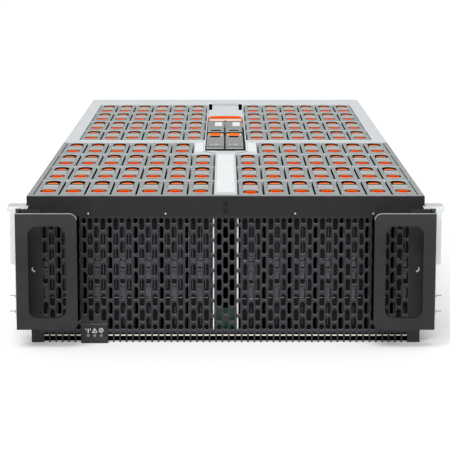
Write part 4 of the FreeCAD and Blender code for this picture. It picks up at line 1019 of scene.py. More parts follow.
# ---- front panel ---------------------------------------------------------------------------
@dataclass
class FrontPanel:
    """The slotted front panel with round slot ends, its fasteners and what shows behind it."""

    pitch_x: float = mm(7.2675)
    pitch_z: float = mm(17.45)
    slot: Point = (mm(5.4), mm(14.3))
    per_column: int = 7
    columns: int = 28
    top_margin: float = mm(24.9)
    stagger: float = mm(9.3)
    short_slot: float = mm(6.5)
    notch: float = mm(11.5)
    corner_step: float = mm(15.0)
    nick: Point = (mm(4.0), mm(11.0))
    sheet: float = mm(1.5)
    rivets: tuple[float, ...] = (mm(-154.4), mm(-67.5), mm(78.2), mm(165.9))
    rivet_z: float = mm(148.3)
    rivet: Point = (mm(1.0), mm(0.9))
    liner: tuple[float, Span, Span] = (mm(7), (mm(0.4), mm(1.2)), (mm(0.6), mm(12.0)))
    cream: tuple[float, Span, Span] = (mm(8), (mm(0.1), mm(0.4)), (mm(7.2), mm(8.7)))
    wall_x: Span = (mm(0.2), mm(1.0))
    wall_z: Span = (mm(14.0), mm(150.0))
    card: tuple[float, Span, Span] = (mm(1.2), (mm(0.1), mm(1.7)), (mm(14.0), mm(37.0)))
    catch: tuple[float, Span, Span] = (mm(0.7), (mm(-0.4), mm(0.1)), (mm(22.8), mm(24.2)))
    glint: float = mm(0.45)

    def slot_outline(self, x: float, top: float, tall: float) -> list[Point]:
        """A slot with round ends.

        Args:
            x: its middle.
            top: its highest point.
            tall: its height.

        Returns:
            The outline.
        """
        half = self.slot[0] / 2
        upper = bend((x, top - half), (half, half), 0, 180, 7)
        return upper + bend((x, top - tall + half), (half, half), 180, 360, 7)

    def edge(self, half: float, under: Span, high: float) -> list[Point]:
        """Edge of the panel with its stepped lower corners and its comb of open notches.

        Args:
            half: half the panel's width.
            under: X range of the indicator cover, where there are no notches.
            high: top of the panel.

        Returns:
            The outline.
        """
        step = half - mm(3.0)
        nick_x, nick_drop = self.nick
        nick_top = high - nick_drop
        right = [(step, 0.0), (step, self.corner_step), (half, self.corner_step),
                 (half, nick_top - nick_x), (half - nick_x / 2, nick_top), (half, nick_top),
                 (half, high)]
        left = [(-x, z) for x, z in reversed(right)]
        comb = []
        r = self.slot[0] / 2
        for index in range(-self.columns, self.columns + 1):
            x = index * self.pitch_x
            if not under[0] < x < under[1]:
                arch = bend((x, self.notch - r), (r, r), 180, 0, 7)
                comb += [(x - r, 0.0)] + arch + [(x + r, 0.0)]
        return right + left + comb

    def build(self) -> None:
        """Builds the panel, the rail over it and the pieces that belong to them."""
        low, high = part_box("front_grille")
        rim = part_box("front_top_rail")[1].z
        cover_low, cover_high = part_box("indicator_panel")
        outlines = [self.edge(high.x, (cover_low.x, cover_high.x), rim)]
        for index in range(-self.columns, self.columns + 1):
            x = index * self.pitch_x
            long_top = rim - self.top_margin - (0.0 if index % 2 else self.stagger)
            spans = [(long_top - i * self.pitch_z, self.slot[1]) for i in range(self.per_column)]
            if index % 2:
                spans.append((long_top - self.per_column * self.pitch_z, self.short_slot))
            else:
                spans.append((rim - self.top_margin, self.short_slot))
            reach = self.slot[0] / 2
            covered = cover_low.x - reach < x < cover_high.x + reach
            clear = mm(1) + (cover_high.z if covered else 0.0)
            spans = [(z, min(tall, z - clear)) for z, tall in spans]
            outlines += [self.slot_outline(x, z, tall) for z, tall in spans if tall > self.slot[0]]
        panel = plate("front_panel", outlines, self.sheet, mm(0.25))
        facing_front(panel, low.y + self.sheet / 2)
        dress(panel, WEB_COAT, "enclosure", replaces=["front_grille"])
        self.glints(low.y, outlines[1:])
        self.top_rail(low.y + self.sheet, rim)
        self.fasteners(low.y)
        self.behind(low.y + self.sheet, high.x)

    def glints(self, face: float, slots: Sequence[Sequence[Point]]) -> None:
        """Painted highlights on the lower lips of the slots, where they face the light.

        Args:
            face: Y of the panel's front face.
            slots: outlines of the slots, each with its lower bend last.
        """
        work = Workpiece()
        for outline in slots:
            lower = outline[len(outline) // 2 + 1:-1]
            work.prism(lower + [(x, z - self.glint) for x, z in lower[::-1]], Axis.Y,
                       (face - mm(0.06), face))
        work.done("slot_lips", LIP_COAT, "enclosure", "black_steel")

    def top_rail(self, start: float, rim: float) -> None:
        """Top edge of the front: a grey rail that starts behind the black panel.

        Args:
            start: Y of the panel's rear face.
            rim: height of the rim.
        """
        low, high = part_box("front_top_rail")
        rail = Workpiece().block((low.x, high.x), (start + mm(0.05), high.y),
                                 (rim - self.sheet, rim))
        rail.block(shrunk((low.x, high.x), mm(2)), (high.y - self.sheet, high.y),
                   (low.z, rim - self.sheet))
        rail.done("front_rail_top", RAIL_SHEET, "enclosure", "bright_steel", mm(0.3),
                  ["front_top_rail"])

    def fasteners(self, face: float) -> None:
        """Four small bright rivets over the slots.

        Args:
            face: Y of the panel's front face.
        """
        rivets = Workpiece()
        for x in self.rivets:
            rivets.prism(bend((x, self.rivet_z), self.rivet, 0, 330, 12), Axis.Y,
                         (face - mm(0.4), face))
        rivets.done("panel_rivets", NICKEL, "enclosure", "bright_steel", mm(0.2))

    def behind(self, rear: float, half: float) -> None:
        """Liner behind the comb, its cream edge, and what shows in the middle of the slots.

        Args:
            rear: Y of the panel's rear face.
            half: half the panel's width.
        """
        low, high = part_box("center_channel")
        edges = Workpiece()
        for side in (-1, 1):
            edges.block(sided(side, shifted(high.x, self.wall_x)),
                        (rear + mm(0.3), low.y - mm(0.1)), self.wall_z)
        panel, channel = about(0.0, half), (low.x, high.x)
        (liner_in, liner_y, liner_z), (cream_in, cream_y, cream_z) = self.liner, self.cream
        (card_in, card_y, card_z), (catch_half, catch_y, catch_z) = self.card, self.catch
        # Painted shade: the black liner behind the comb.
        liner = Workpiece().block(shrunk(panel, liner_in), shifted(rear, liner_y), liner_z)
        cream = Workpiece().block(shrunk(panel, cream_in), shifted(rear, cream_y), cream_z)
        card = Workpiece().block(shrunk(channel, card_in), shifted(low.y, card_y), card_z)
        catch = Workpiece().block(about(0.0, catch_half), shifted(low.y, catch_y), catch_z)
        for name, work, finish, slot in (
                ("comb_liner", liner, PAINTED_SHADE_BLACK, "black_steel"),
                ("comb_liner_edge", cream, CREAM_EDGE, "bright_steel"),
                ("channel_wall_edges", edges, EDGE_WHITE, "bright_steel"),
                ("channel_card", card, SOLDER_MASK, "board"),
                ("channel_card_catch", catch, RELEASE_ORANGE, "release_orange")):
            work.done(name, finish, "enclosure", slot)


# ---- indicator cover -----------------------------------------------------------------------
@dataclass
class IndicatorMarks:
    """The three marks and the three unlit lenses of the indicator cover."""

    places: tuple[float, ...] = (mm(-156.0), mm(-148.65), mm(-141.3))
    mark_z: float = mm(14.3)
    mark: float = mm(2.7)
    stroke: float = mm(0.55)
    mast: Span = (mm(-0.1), mm(0.3))
    arm: Span = (mm(-0.8), mm(0.9))
    wave: Point = (mm(2.6), mm(2.2))
    thick: float = mm(0.12)
    lens_z: float = mm(8.6)
    lens: float = mm(1.75)
    face: float = mm(2.2)

    def build(self) -> None:
        """Builds the marks and the lenses on the cover's face."""
        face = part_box("front_grille")[0].y - self.face
        marks = (("beacon", self.beacon), ("warning", self.warning), ("fault", self.fault))
        for name, draw in marks:
            work = Workpiece()
            draw(work, face)
            work.done(f"mark_{name}", LABEL_WHITE, "enclosure", "light_pipe")
        lenses = Workpiece()
        for x in self.places:
            lenses.prism(bend((x, self.lens_z), (self.lens, self.lens), 0, 345, 24), Axis.Y,
                         (face - mm(0.3), face))
        lenses.done("indicator_lenses", LIGHT_PIPE, "enclosure", "light_pipe", mm(0.12))

    def stroke_line(self, work: Workpiece, face: float, start: Point, end: Point) -> None:
        """A straight stroke of a mark.

        Args:
            work: the workpiece that gets it.
            face: Y of the cover's face.
            start: its first end.
            end: its other end.
        """
        dx, dz = end[0] - start[0], end[1] - start[1]
        length = math.hypot(dx, dz)
        ox, oz = -dz / length * self.stroke / 2, dx / length * self.stroke / 2
        work.prism([(start[0] + ox, start[1] + oz), (start[0] - ox, start[1] - oz),
                    (end[0] - ox, end[1] - oz), (end[0] + ox, end[1] + oz)], Axis.Y,
                   (face - self.thick, face))

    def path(self, work: Workpiece, face: float, points: Sequence[Point]) -> None:
        """A run of strokes through some points.

        Args:
            work: the workpiece that gets it.
            face: Y of the cover's face.
            points: the corners in order.
        """
        for start, end in zip(points, points[1:]):
            self.stroke_line(work, face, start, end)

    def beacon(self, work: Workpiece, face: float) -> None:
        """A mast with a mark at each side: the locate light.

        Args:
            work: the workpiece that gets it.
            face: Y of the cover's face.
        """
        x, z, r = self.places[0], self.mark_z, self.mark
        (left, right), (start, end) = shifted(x, self.mast), shifted(x, self.arm)
        self.stroke_line(work, face, (left, z - r), (left, z + r * 0.7))
        self.stroke_line(work, face, (right, z - r), (right, z + r * 0.2))
        self.stroke_line(work, face, (start, z + r * 0.35), (end, z + r * 0.35))
        wide, tall = self.wave
        for side in (-1, 1):
            self.path(work, face, bend((x, z + r * 0.4), (side * wide, tall), -30, 30, 4))

    def warning(self, work: Workpiece, face: float) -> None:
        """A triangle with a dot: the warning light.

        Args:
            work: the workpiece that gets it.
            face: Y of the cover's face.
        """
        x, z, r = self.places[1], self.mark_z - mm(0.4), self.mark
        left, right = (x - r, z - r * 0.75), (x + r, z - r * 0.75)
        self.path(work, face, [left, right, (x, z + r), left])
        self.stroke_line(work, face, (x, z - r * 0.3), (x, z + r * 0.35))

    def fault(self, work: Workpiece, face: float) -> None:
        """A ring with a slash: the fault light.

        Args:
            work: the workpiece that gets it.
            face: Y of the cover's face.
        """
        x, z, r = self.places[2], self.mark_z, self.mark
        self.path(work, face, bend((x, z), (r * 0.85, r * 0.85), 0, 360, 17))
        self.stroke_line(work, face, (x - r * 0.6, z - r * 0.6), (x + r * 0.6, z + r * 0.6))


# ---- handles and rail fronts ---------------------------------------------------------------
@dataclass
class HandleTrim:
    """Upper edge with a painted highlight, window collar, clip and a black flange of painted
    shade, for each handle, over the CAD plate.
    """

    window_x: Span = (mm(177.6), mm(219.3))
    window_z: Span = (mm(35.8), mm(139.8))
    window_corner: float = mm(10.0)
    corner: float = mm(8.0)
    collar: float = mm(1.0)
    collar_deep: float = mm(4.0)
    line: float = mm(0.6)
    thick: float = mm(2.0)
    flange: Span = (mm(0.2), mm(1.2))
    clip_z: float = mm(84.0)
    clip_in: float = mm(1.2)
    clip_y: Span = (mm(-2.5), mm(-1.5))
    clip: tuple[Point, ...] = ((-2.4, -2.6), (0.9, -0.2), (0.3, 3.4), (-1.0, 3.2), (-0.7, 0.6),
                               (-3.4, -1.2))

    def build(self) -> None:
        """Builds the trim of both handles."""
        for side, name in ((1, "right"), (-1, "left")):
            low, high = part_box(f"{name}_handle")
            self.window(side, name, low.y)
            self.lines(side, name, low, high)

    def window(self, side: int, name: str, face: float) -> None:
        """Collar behind the hand window, and the bright clip at its outer edge.

        Args:
            side: 1 for the right handle and -1 for the left.
            name: which handle it is.
            face: Y of the handle's front face.
        """
        x, z, deep = sided(side, self.window_x), self.window_z, self.collar_deep
        outer = rounded(shrunk(x, -self.collar), shrunk(z, -self.collar),
                        self.window_corner + self.collar, 7)
        ring = plate(f"{name}_handle_collar", [outer, rounded(x, z, self.window_corner, 7)],
                     deep, mm(0.1))
        facing_front(ring, face + self.thick + deep / 2)
        dress(ring, BLACK_COAT, "enclosure")
        at = side * (self.window_x[1] - self.clip_in)
        outline = [(at + side * mm(dx), self.clip_z + mm(dz)) for dx, dz in self.clip]
        Workpiece().prism(
            outline, Axis.Y, shifted(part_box("front_grille")[0].y, self.clip_y),
        ).done(f"{name}_handle_clip", NICKEL, "enclosure", "bright_steel")

    def lines(self, side: int, name: str, low: Vector, high: Vector) -> None:
        """Painted highlight, a thin grey line where the handle's upper bevel catches the light,
        and its flange, painted black as the shade beside the handle.

        Args:
            side: 1 for the right handle and -1 for the left.
            name: which handle it is.
            low: the handle's lowest corner.
            high: its highest corner.
        """
        inner, outer = (low.x, high.x) if side > 0 else (high.x, low.x)
        depth = (low.y + mm(0.3), low.y + self.thick - mm(0.3))
        middle = (inner + side * self.corner, high.z - self.corner)
        over = self.corner + self.line
        turn = bend(middle, (-side * over, over), 12, 90, 8)
        shell = bend(middle, (-side * self.corner, self.corner), 12, 90, 8)
        tail = [(outer, high.z + self.line), (outer, high.z)]
        Workpiece().prism(turn + tail + shell[::-1], Axis.Y, depth).done(
            f"{name}_handle_glint", COAT_HIGHLIGHT, "enclosure", "black_steel")
        Workpiece().block(
            sided(side, shifted(abs(inner), self.flange)),
            (low.y + self.thick, high.y - mm(0.2)), shrunk((low.z, high.z), self.corner),
        ).done(f"{name}_handle_flange", PAINTED_SHADE_BLACK, "enclosure", "black_steel")


@dataclass
class RailFronts:
    """Front ends of the rack rails beside the handles."""

    shelf: tuple[Span, Span, Span] = (
        (mm(224.2), mm(245.6)), (mm(-523.0), mm(-497.0)), (mm(154.2), mm(155.9)))
    strip: tuple[Span, Span, Span] = (
        (mm(236.6), mm(242.8)), (mm(-523.4), mm(-523.0)), (mm(90.0), mm(154.0)))
    web: tuple[Span, Span, Span] = (
        (mm(226.6), mm(228.8)), (mm(-523.4), mm(-519.0)), (mm(140.0), mm(154.0)))
    stop: tuple[Span, Span, Span] = (
        (mm(229.8), mm(236.2)), (mm(-523.4), mm(-519.0)), (mm(146.4), mm(153.9)))
    hooks: tuple[float, ...] = (mm(54.0), mm(36.0))
    hook_y: Span = (mm(-523.4), mm(-521.0))
    hook_arm: tuple[Span, Span] = ((mm(239.0), mm(244.6)), (mm(-0.4), mm(0.4)))
    hook_tip: tuple[Span, Span] = ((mm(238.2), mm(239.0)), (mm(-2.2), mm(0.4)))

    def build(self) -> None:
        """Builds the rail front of each side."""
        for side, name in ((1, "right"), (-1, "left")):
            bright, hooks = Workpiece(), Workpiece()
            for x, y, z in (self.shelf, self.strip, self.web):
                bright.block(sided(side, x), y, z)
            x, y, z = self.stop
            stop = Workpiece().block(sided(side, x), y, z)
            for level in self.hooks:
                for x, z in (self.hook_arm, self.hook_tip):
                    hooks.block(sided(side, x), self.hook_y, shifted(level, z))
            for what, work, finish, edge in (("front", bright, RAIL_ZINC, mm(0.2)),
                                             ("stop", stop, BLACK_PLASTIC, mm(0.4)),
                                             ("hooks", hooks, BRIDGE_NYLON, mm(0.15))):
                work.done(f"{name}_rail_{what}", finish, f"{name}_rail", "rail_steel", edge)


# ---- middle of the shelf -------------------------------------------------------------------
@dataclass
class CenterBay:
    """The module bay: two modules with their levers, the pull bar and the sheet behind them.

    Places across a module are measured from its left side.
    """

    lefts: tuple[tuple[str, float], ...] = (("left", mm(-26.2)), ("right", mm(0.2)))
    width: float = mm(24.3)
    top: float = mm(167.0)
    deck: float = mm(157.8)
    rear_half: Span = (mm(93.0), mm(218.2))
    lever: Span = (mm(-106.0), mm(42.0))
    fold: Span = (mm(-92.0), mm(-79.0))
    lever_under: float = mm(160.3)
    tab: tuple[Span, Span] = ((mm(3.2), mm(20.0)), (mm(44.0), mm(74.0)))
    tab_ends: tuple[Span, Span] = ((mm(1.4), mm(3.2)), (mm(20.0), mm(23.0)))
    label: tuple[Span, Span] = ((mm(10.4), mm(21.2)), (mm(158.5), mm(208.0)))
    rear_slot: tuple[Span, Span] = ((mm(5.2), mm(19.0)), (mm(94.8), mm(110.0)))
    front_slot: tuple[Span, Span] = ((mm(4.8), mm(18.2)), (mm(22.0), mm(39.5)))
    marks: tuple[Span, ...] = ((mm(5.0), mm(7.2)), (mm(9.6), mm(10.4)), (mm(11.4), mm(16.0)))
    mark_y: Span = (mm(-60.0), mm(-52.0))
    corners: Point = (mm(0.6), mm(1.5))           # of a plate and of its slot
    plate_edge: float = mm(0.3)
    case_edge: float = mm(0.5)
    deck_thick: float = mm(1)
    inlay_drop: float = mm(0.15)                  # dark floor of a slot, under the plate's top
    paper: float = mm(0.12)
    rear_gap: Span = (mm(-0.2), mm(6.0))
    film: Span = (mm(-0.3), mm(0.04))             # bands laid on a lever's top
    band_from: float = mm(4.5)
    nose: Span = (mm(-2.8), mm(4.4))
    tab_lap: float = mm(2)
    tab_thick: float = mm(3)
    mark_z: Span = (mm(-0.1), mm(0.05))
    blade: tuple[Point, Span, Span] = (
        (mm(23.9), mm(24.1)), (mm(281.8), mm(285.0)), (mm(164.9), mm(167.9)))
    shelf: tuple[float, Span, Span] = (mm(25.8), (mm(256.0), mm(281.8)), (mm(163.2), mm(164.1)))
    bow: Point = (mm(0.5), mm(0.1))               # how far the crest falls at its ends and flat
    bow_flat: float = mm(10)
    rib: tuple[Point, Point] = ((mm(1.0), mm(-2.5)), (mm(0.8), mm(6)))
    gusset: tuple[float, ...] = (mm(-2.0), mm(-0.4), mm(0.4), mm(-0.9))
    gusset_y: float = mm(-3)
    pin: float = mm(0.8)
    pin_y: float = mm(2.0)
    sheet_in: float = mm(0.4)
    notch: Point = (mm(21.6), mm(394.0))
    notch_z: Span = (mm(-1.4), mm(0.2))
    lip: Point = (mm(16), mm(2.4))
    shoulder_z: Span = (mm(-1.5), mm(-0.3))       # under the rim
    slant: tuple[float, ...] = (mm(-158.8), mm(-139.5), mm(-137.0), mm(-156.3))
    slant_z: Span = (mm(-0.4), mm(-0.1))
    rear_liner_from: float = mm(-14.0)
    liner: Span = (mm(0.05), mm(0.35))
    liner_foot: float = mm(100.0)
    label_thick: float = mm(0.15)
    strip_label: tuple[Span, Span] = ((mm(-10.4), mm(10.4)), (mm(-487.0), mm(-165.0)))
    filler_label: tuple[Span, Span] = ((mm(30.6), mm(41.4)), (mm(-135.0), mm(-47.0)))

    def build(self) -> None:
        """Builds both modules, the pull bar, the sheet behind it and the channel's trim."""
        for side, left in self.lefts:
            self.module(side, left)
            self.lever_plate(side, left)
        self.pull_bar()
        self.cover()
        self.channel()

    @staticmethod
    def slotted(name: str, across: Span, along: Span, slot: tuple[Span, Span],
                levels: Span) -> bpy.types.Object:
        """A thick plate with round corners and one slot.

        Args:
            name: the object's name.
            across: its X range.
            along: its Y range.
            slot: X and Y range of the slot.
            levels: its Z range.

        Returns:
            The plate in its place, not yet linked.
        """
        thick, (outer, inner) = levels[1] - levels[0], CenterBay.corners
        outlines = [rounded(across, along, outer, 3), rounded(*slot, inner, 4)]
        return lifted(plate(name, outlines, thick, CenterBay.plate_edge), levels[0] + thick / 2)

    def module(self, side: str, left: float) -> None:
        """Case, rear top, label and slot of a module.

        Args:
            side: left or right.
            left: X of the module's left side.
        """
        body, deck, top = f"{side}_expander", self.deck, self.top
        low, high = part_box(body)
        across, (front, rear) = (left, left + self.width), self.rear_half
        slot = (shifted(left, self.rear_slot[0]), self.rear_slot[1])
        wide, long, under = (low.x, high.x), (low.y, high.y), deck - self.deck_thick
        Workpiece().block(wide, long, (low.z, under)).done(
            f"{side}_module_case", MODULE_SHEET, body, "module_steel", self.case_edge, [body])
        # Painted shade: a black deck under the top, dark beside the module; the slot's floor and
        # the rear gap are painted shade too.
        Workpiece().block(
            shrunk(wide, self.case_edge), shrunk(long, self.case_edge), (under, deck),
        ).done(f"{side}_module_deck", PAINTED_SHADE_BLACK, body, "module_steel")
        dress(self.slotted(f"{side}_module_top", across, self.rear_half, slot, (deck, top)),
              MODULE_SHEET, body)
        inlay = Workpiece().block(*slot, (deck, top - self.inlay_drop))
        inlay.block(shrunk(across, mm(0.6)), (front - mm(0.3), front), (deck, top - mm(1.2)))
        label = Workpiece().block(shifted(left, self.label[0]), self.label[1],
                                  (top, top + self.paper))
        gap = Workpiece().block(across, shifted(rear, self.rear_gap), (deck, top - mm(0.6)))
        for name, work, finish in (("slot", inlay, PAINTED_SHADE_BLACK), ("label", label, LABEL_WHITE),
                                   ("rear_gap", gap, PAINTED_SHADE_BLACK)):
            work.done(f"{side}_module_{name}", finish, body, "module_steel")

    def lever_plate(self, side: str, left: float) -> None:
        """Lever plate over a module's front half, with its orange tab.

        Args:
            side: left or right.
            left: X of the module's left side.
        """
        body, under, top = f"{side}_ejector", self.lever_under, self.top
        across, (front, rear) = (left, left + self.width), self.lever
        slot = (shifted(left, self.front_slot[0]), self.front_slot[1])
        dress(self.slotted(f"{side}_lever_plate", across, self.lever, slot, (under, top)),
              MODULE_SHEET, body, replaces=[body])
        near, film = shrunk(across, mm(0.1)), shifted(top, self.film)
        tab_x, (_, tip) = self.tab
        start, foot = rear - self.tab_lap, top - self.tab_thick
        # Painted shade: the black floor of the slot and the black nose at the lever's front.
        # Painted light: the light band in front of the darker fold.
        inlay = Workpiece().block(*slot, (under + mm(0.3), top - self.inlay_drop))
        fold = Workpiece().block(near, self.fold, film)
        band = Workpiece().block(shrunk(across, mm(0.3)),
                                 (front + self.band_from, self.fold[0] - mm(0.3)), film)
        nose = Workpiece().block(near, shifted(front, self.nose), (under + mm(1), top - mm(0.1)))
        tab = Workpiece().block(shifted(left, tab_x), (start, tip), (foot, top - mm(0.3)))
        ends, marks = Workpiece(), Workpiece()
        for x in self.tab_ends:
            ends.block(shifted(left, x), (start, tip - mm(3)), (foot, top - mm(0.5)))
        for x in self.marks:
            marks.block(shifted(left, x), self.mark_y, shifted(top, self.mark_z))
        for name, work, finish, edge in (
                ("slot", inlay, PAINTED_SHADE_BLACK, 0.0), ("fold", fold, MODULE_FOLD, 0.0),
                ("band", band, BRIDGE_NYLON, 0.0), ("nose", nose, PAINTED_SHADE_BLACK, 0.0),
                ("tab", tab, TAB_ORANGE, mm(0.4)), ("tab_ends", ends, LIP_NYLON, mm(0.3)),
                ("marks", marks, LIP_NYLON, 0.0)):
            work.done(f"{side}_lever_{name}", finish, body, "carrier_grey", edge)

    def pull_bar(self) -> None:
        """Orange pull bar: a bowed blade, a pale shelf in front of it and orange gussets."""
        (inner, outer), blade_y, (foot, crest) = self.blade
        half, (front, rear), (under, top) = self.shelf
        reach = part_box("pull_bar")[1].x
        half_bow = [(inner, crest - self.bow[0]), (self.bow_flat, crest - self.bow[1])]
        bow = half_bow + [(0.0, crest)] + [(-x, z) for x, z in reversed(half_bow)]
        (foot_half, foot_y), (tip_half, tip_y) = self.rib
        rib = [(-foot_half, front + foot_y), (foot_half, front + foot_y),
               (tip_half, front + tip_y), (-tip_half, front + tip_y)]
        blade = Workpiece().prism([(-outer, foot), (outer, foot)] + bow, Axis.Y, blade_y)
        blade.prism(rib, Axis.Z, (under, top + mm(0.2)))
        blade.done("pull_bar_blade", BAR_ORANGE, "pull_bar", "release_orange", mm(0.2),
                   ["pull_bar"])
        shelf = Workpiece().block(shrunk(about(0.0, half), mm(1)), (front, rear), (under, top))
        shelf.done("pull_bar_shelf", SHELF_PEACH, "pull_bar", "release_orange", mm(0.2))
        tips, pins = Workpiece(), Workpiece()
        gusset = [(half + x, y) for x, y in zip(self.gusset, (rear, rear, front + self.gusset_y,
                                                              front + self.gusset_y))]
        round_pin = bend((rear + self.pin_y, under + mm(0.2)), (self.pin, self.pin), 0, 330, 12)
        for side in (-1, 1):
            tips.prism([(side * x, y) for x, y in gusset], Axis.Z,
                       (under - mm(0.2), top + mm(0.15)))
            pins.prism(round_pin, Axis.X, sided(side, (outer - mm(1), reach)))
        tips.done("pull_bar_tips", TAB_ORANGE, "pull_bar", "release_orange", mm(0.15))
        pins.done("pull_bar_pins", RAIL_ZINC, "pull_bar", "release_orange")

    def cover(self) -> None:
        """Sheet behind the pull bar, with its two dark side notches and its lip."""
        low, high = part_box("bay_cover")
        half, (notch_x, notch_y) = high.x - self.sheet_in, self.notch
        right = [(half, low.y), (half, notch_y), (notch_x, notch_y), (notch_x, high.y)]
        left = [(-x, y) for x, y in reversed(right)]
        thick = high.z - low.z
        sheet = plate("bay_sheet", [left[-1:] + right + left[:-1]], thick, mm(0.15))
        dress(lifted(sheet, low.z + thick / 2), BRIGHT_SHEET, "enclosure",
              replaces=["bay_cover"])
        # Painted shade: black blocks under the two side notches.
        dark = Workpiece()
        for side in (-1, 1):
            dark.block(sided(side, (notch_x - mm(0.2), half - mm(1.2))),
                       (notch_y - mm(0.4), high.y), shifted(low.z, self.notch_z))
        dark.done("bay_notches", PAINTED_SHADE_BLACK, "enclosure", "bright_steel")
        deep, tall = self.lip
        wedge = [(high.y - deep, high.z), (high.y - mm(0.1), high.z),
                 (high.y - mm(0.1), high.z + tall)]
        Workpiece().prism(wedge, Axis.X, about(0.0, notch_x)).done(
            "bay_sheet_lip", SHADED_SHEET, "enclosure", "bright_steel")

    def channel(self) -> None:
        """Slanted shoulders before the bay, gap liners painted black as shade, and bare labels on
        strip and fillers.
        """
        low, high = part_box("center_channel")
        bay_low, bay_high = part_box("expander_bay")
        rim = bay_high.z
        front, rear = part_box("carriers_row_3")[1].y + mm(0.4), bay_low.y - mm(0.2)
        inner, outer = high.x - mm(0.2), bay_high.x
        runs = ((high.x, (low.y + mm(0.5), front - mm(0.5))),
                (bay_high.x, (self.rear_liner_from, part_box("carriers_row_8")[1].y)))
        shoulders, edges, liners, labels = (Workpiece() for _ in range(4))
        film = (high.z, high.z + self.label_thick)
        labels.prism(rounded(*self.strip_label, mm(1.0)), Axis.Z, film)
        for side in (-1, 1):
            shoulders.block(sided(side, (inner, outer)), (front, rear),
                            shifted(rim, self.shoulder_z))
            line = zip((inner, outer, outer, inner), self.slant)
            edges.prism([(side * x, y) for x, y in line], Axis.Z, shifted(rim, self.slant_z))
            for x, along in runs:
                liners.block(sided(side, shifted(x, self.liner)), along,
                             (self.liner_foot, rim - mm(0.9)))
            x, y = self.filler_label
            labels.prism(rounded(sided(side, x), y, mm(0.8)), Axis.Z, film)
        for name, work, finish, edge in (("gap_liners", liners, PAINTED_SHADE_BLACK, 0.0),
                                         ("bay_shoulders", shoulders, BRIGHT_SHEET, mm(0.2)),
                                         ("bay_shoulder_edges", edges, GROOVE_NYLON, 0.0),
                                         ("bare_labels", labels, LABEL_WHITE, 0.0)):
            work.done(name, finish, "enclosure", "bright_steel", edge)


@dataclass
class Dividers:
    """Sheet strips between the rows of carriers, a little lower than the rim."""

    top: float = mm(167.35)
    thick: float = mm(4.2)
    pitch: float = mm(117.0)
    room: float = mm(0.15)
    rows: int = 3
    tongue: float = mm(0.8)
    tongue_deep: float = mm(9)
    tongue_reach: Point = (mm(5.5), mm(7.5))

    def build(self) -> None:
        """Builds the strips of both groups of rows."""
        for name in ("front_dividers", "rear_dividers"):
            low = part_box(name)[0]
            work = Workpiece()
            for piece in self.spans(name):
                for i in range(self.rows):
                    start = low.y + i * self.pitch + self.room
                    work.block(piece, (start, start + self.thick - 2 * self.room),
                               (low.z, self.top))
            work.done(f"{name}_strips", BRIGHT_SHEET, "enclosure", "bright_steel", mm(0.3), [name])
            self.tongues(name, low.y)

    def tongues(self, name: str, start: float) -> None:
        """Narrow tongues of the strips that fill the ends of the gaps between carriers.

        Args:
            name: the CAD node that the strips stand for.
            start: Y of the first strip.
        """
        row = 1 if name.startswith("front") else 5
        count = CarrierField.per_side[row - 1]
        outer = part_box(f"carriers_row_{row}")[1].x - CarrierField.cad_width / 2
        before, behind = self.tongue_reach
        work = Workpiece()
        for side in (-1, 1):
            for i in range(count - 1):
                x = side * (outer - (i + 0.5) * CarrierField.pitch)
                for k in range(self.rows):
                    y = start + k * self.pitch
                    work.block(about(x, self.tongue), (y - before, y + self.thick + behind),
                               (self.top - self.tongue_deep, self.top))
        work.done(f"{name}_tongues", BRIGHT_SHEET, "enclosure", "bright_steel", mm(0.2))

    @staticmethod
    def spans(name: str) -> list[Span]:
        """X ranges of a group's strips: outside the middle channel or the module bay.

        Args:
            name: the CAD node that the strips stand for.

        Returns:
            The left range and the right one.
        """
        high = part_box(name)[1]
        middle = "center_channel" if name.startswith("front") else "expander_bay"
        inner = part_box(middle)[1].x + mm(1)
        return [(-high.x, -inner), (inner, high.x)]


# ---- rear end ------------------------------------------------------------------------------
@dataclass
class FanGuards:
    """Wire finger guards on the four fan modules."""

    radii: tuple[float, ...] = (mm(11), mm(20), mm(29), mm(38))
    wire: float = mm(0.8)
    reach: float = mm(41)
    spokes: int = 4
    off: float = mm(1.2)

    def build(self) -> None:
        """Builds a guard behind each fan."""
        for index in range(1, 5):
            low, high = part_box(f"fan_rotor_{index}")
            x, z = (low.x + high.x) / 2, (low.z + high.z) / 2
            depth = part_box(f"fan_housing_{index}")[1].y + self.off
            work = Workpiece()
            for radius in self.radii:
                self.ring(work, (x, z), radius, depth)
            for k in range(self.spokes):
                angle = math.radians(45 + 360 / self.spokes * k)
                tip = (x + self.reach * math.cos(angle), z + self.reach * math.sin(angle))
                ox, oz = -math.sin(angle) * self.wire, math.cos(angle) * self.wire
                work.prism([(x + ox, z + oz), (x - ox, z - oz), (tip[0] - ox, tip[1] - oz),
                            (tip[0] + ox, tip[1] + oz)], Axis.Y,
                           (depth - self.off, depth - mm(0.2)))
            work.done(f"fan_guard_{index}", RAIL_ZINC, f"fan_module_{index}", "black_plastic")

    def ring(self, work: Workpiece, centre: Point, radius: float, depth: float,
             around: int = 48, across: int = 8) -> None:
        """A ring of round wire.

        Args:
            work: the workpiece that gets it.
            centre: X and Z of its middle.
            radius: its radius.
            depth: its Y.
            around: segments of the ring.
            across: segments of the wire.
        """
        loops = []
        for a in (2 * math.pi * i / around for i in range(around)):
            loop = []
            for b in (2 * math.pi * i / across for i in range(across)):
                r = radius + self.wire * math.cos(b)
                loop.append(work.mesh.verts.new((
                    centre[0] + r * math.cos(a), depth + self.wire * math.sin(b),
                    centre[1] + r * math.sin(a))))
            loops.append(loop)
        for i, loop in enumerate(loops):
            following = loops[(i + 1) % around]
            for j in range(across):
                k = (j + 1) % across
                work.mesh.faces.new((loop[j], following[j], following[k], loop[k])).smooth = True


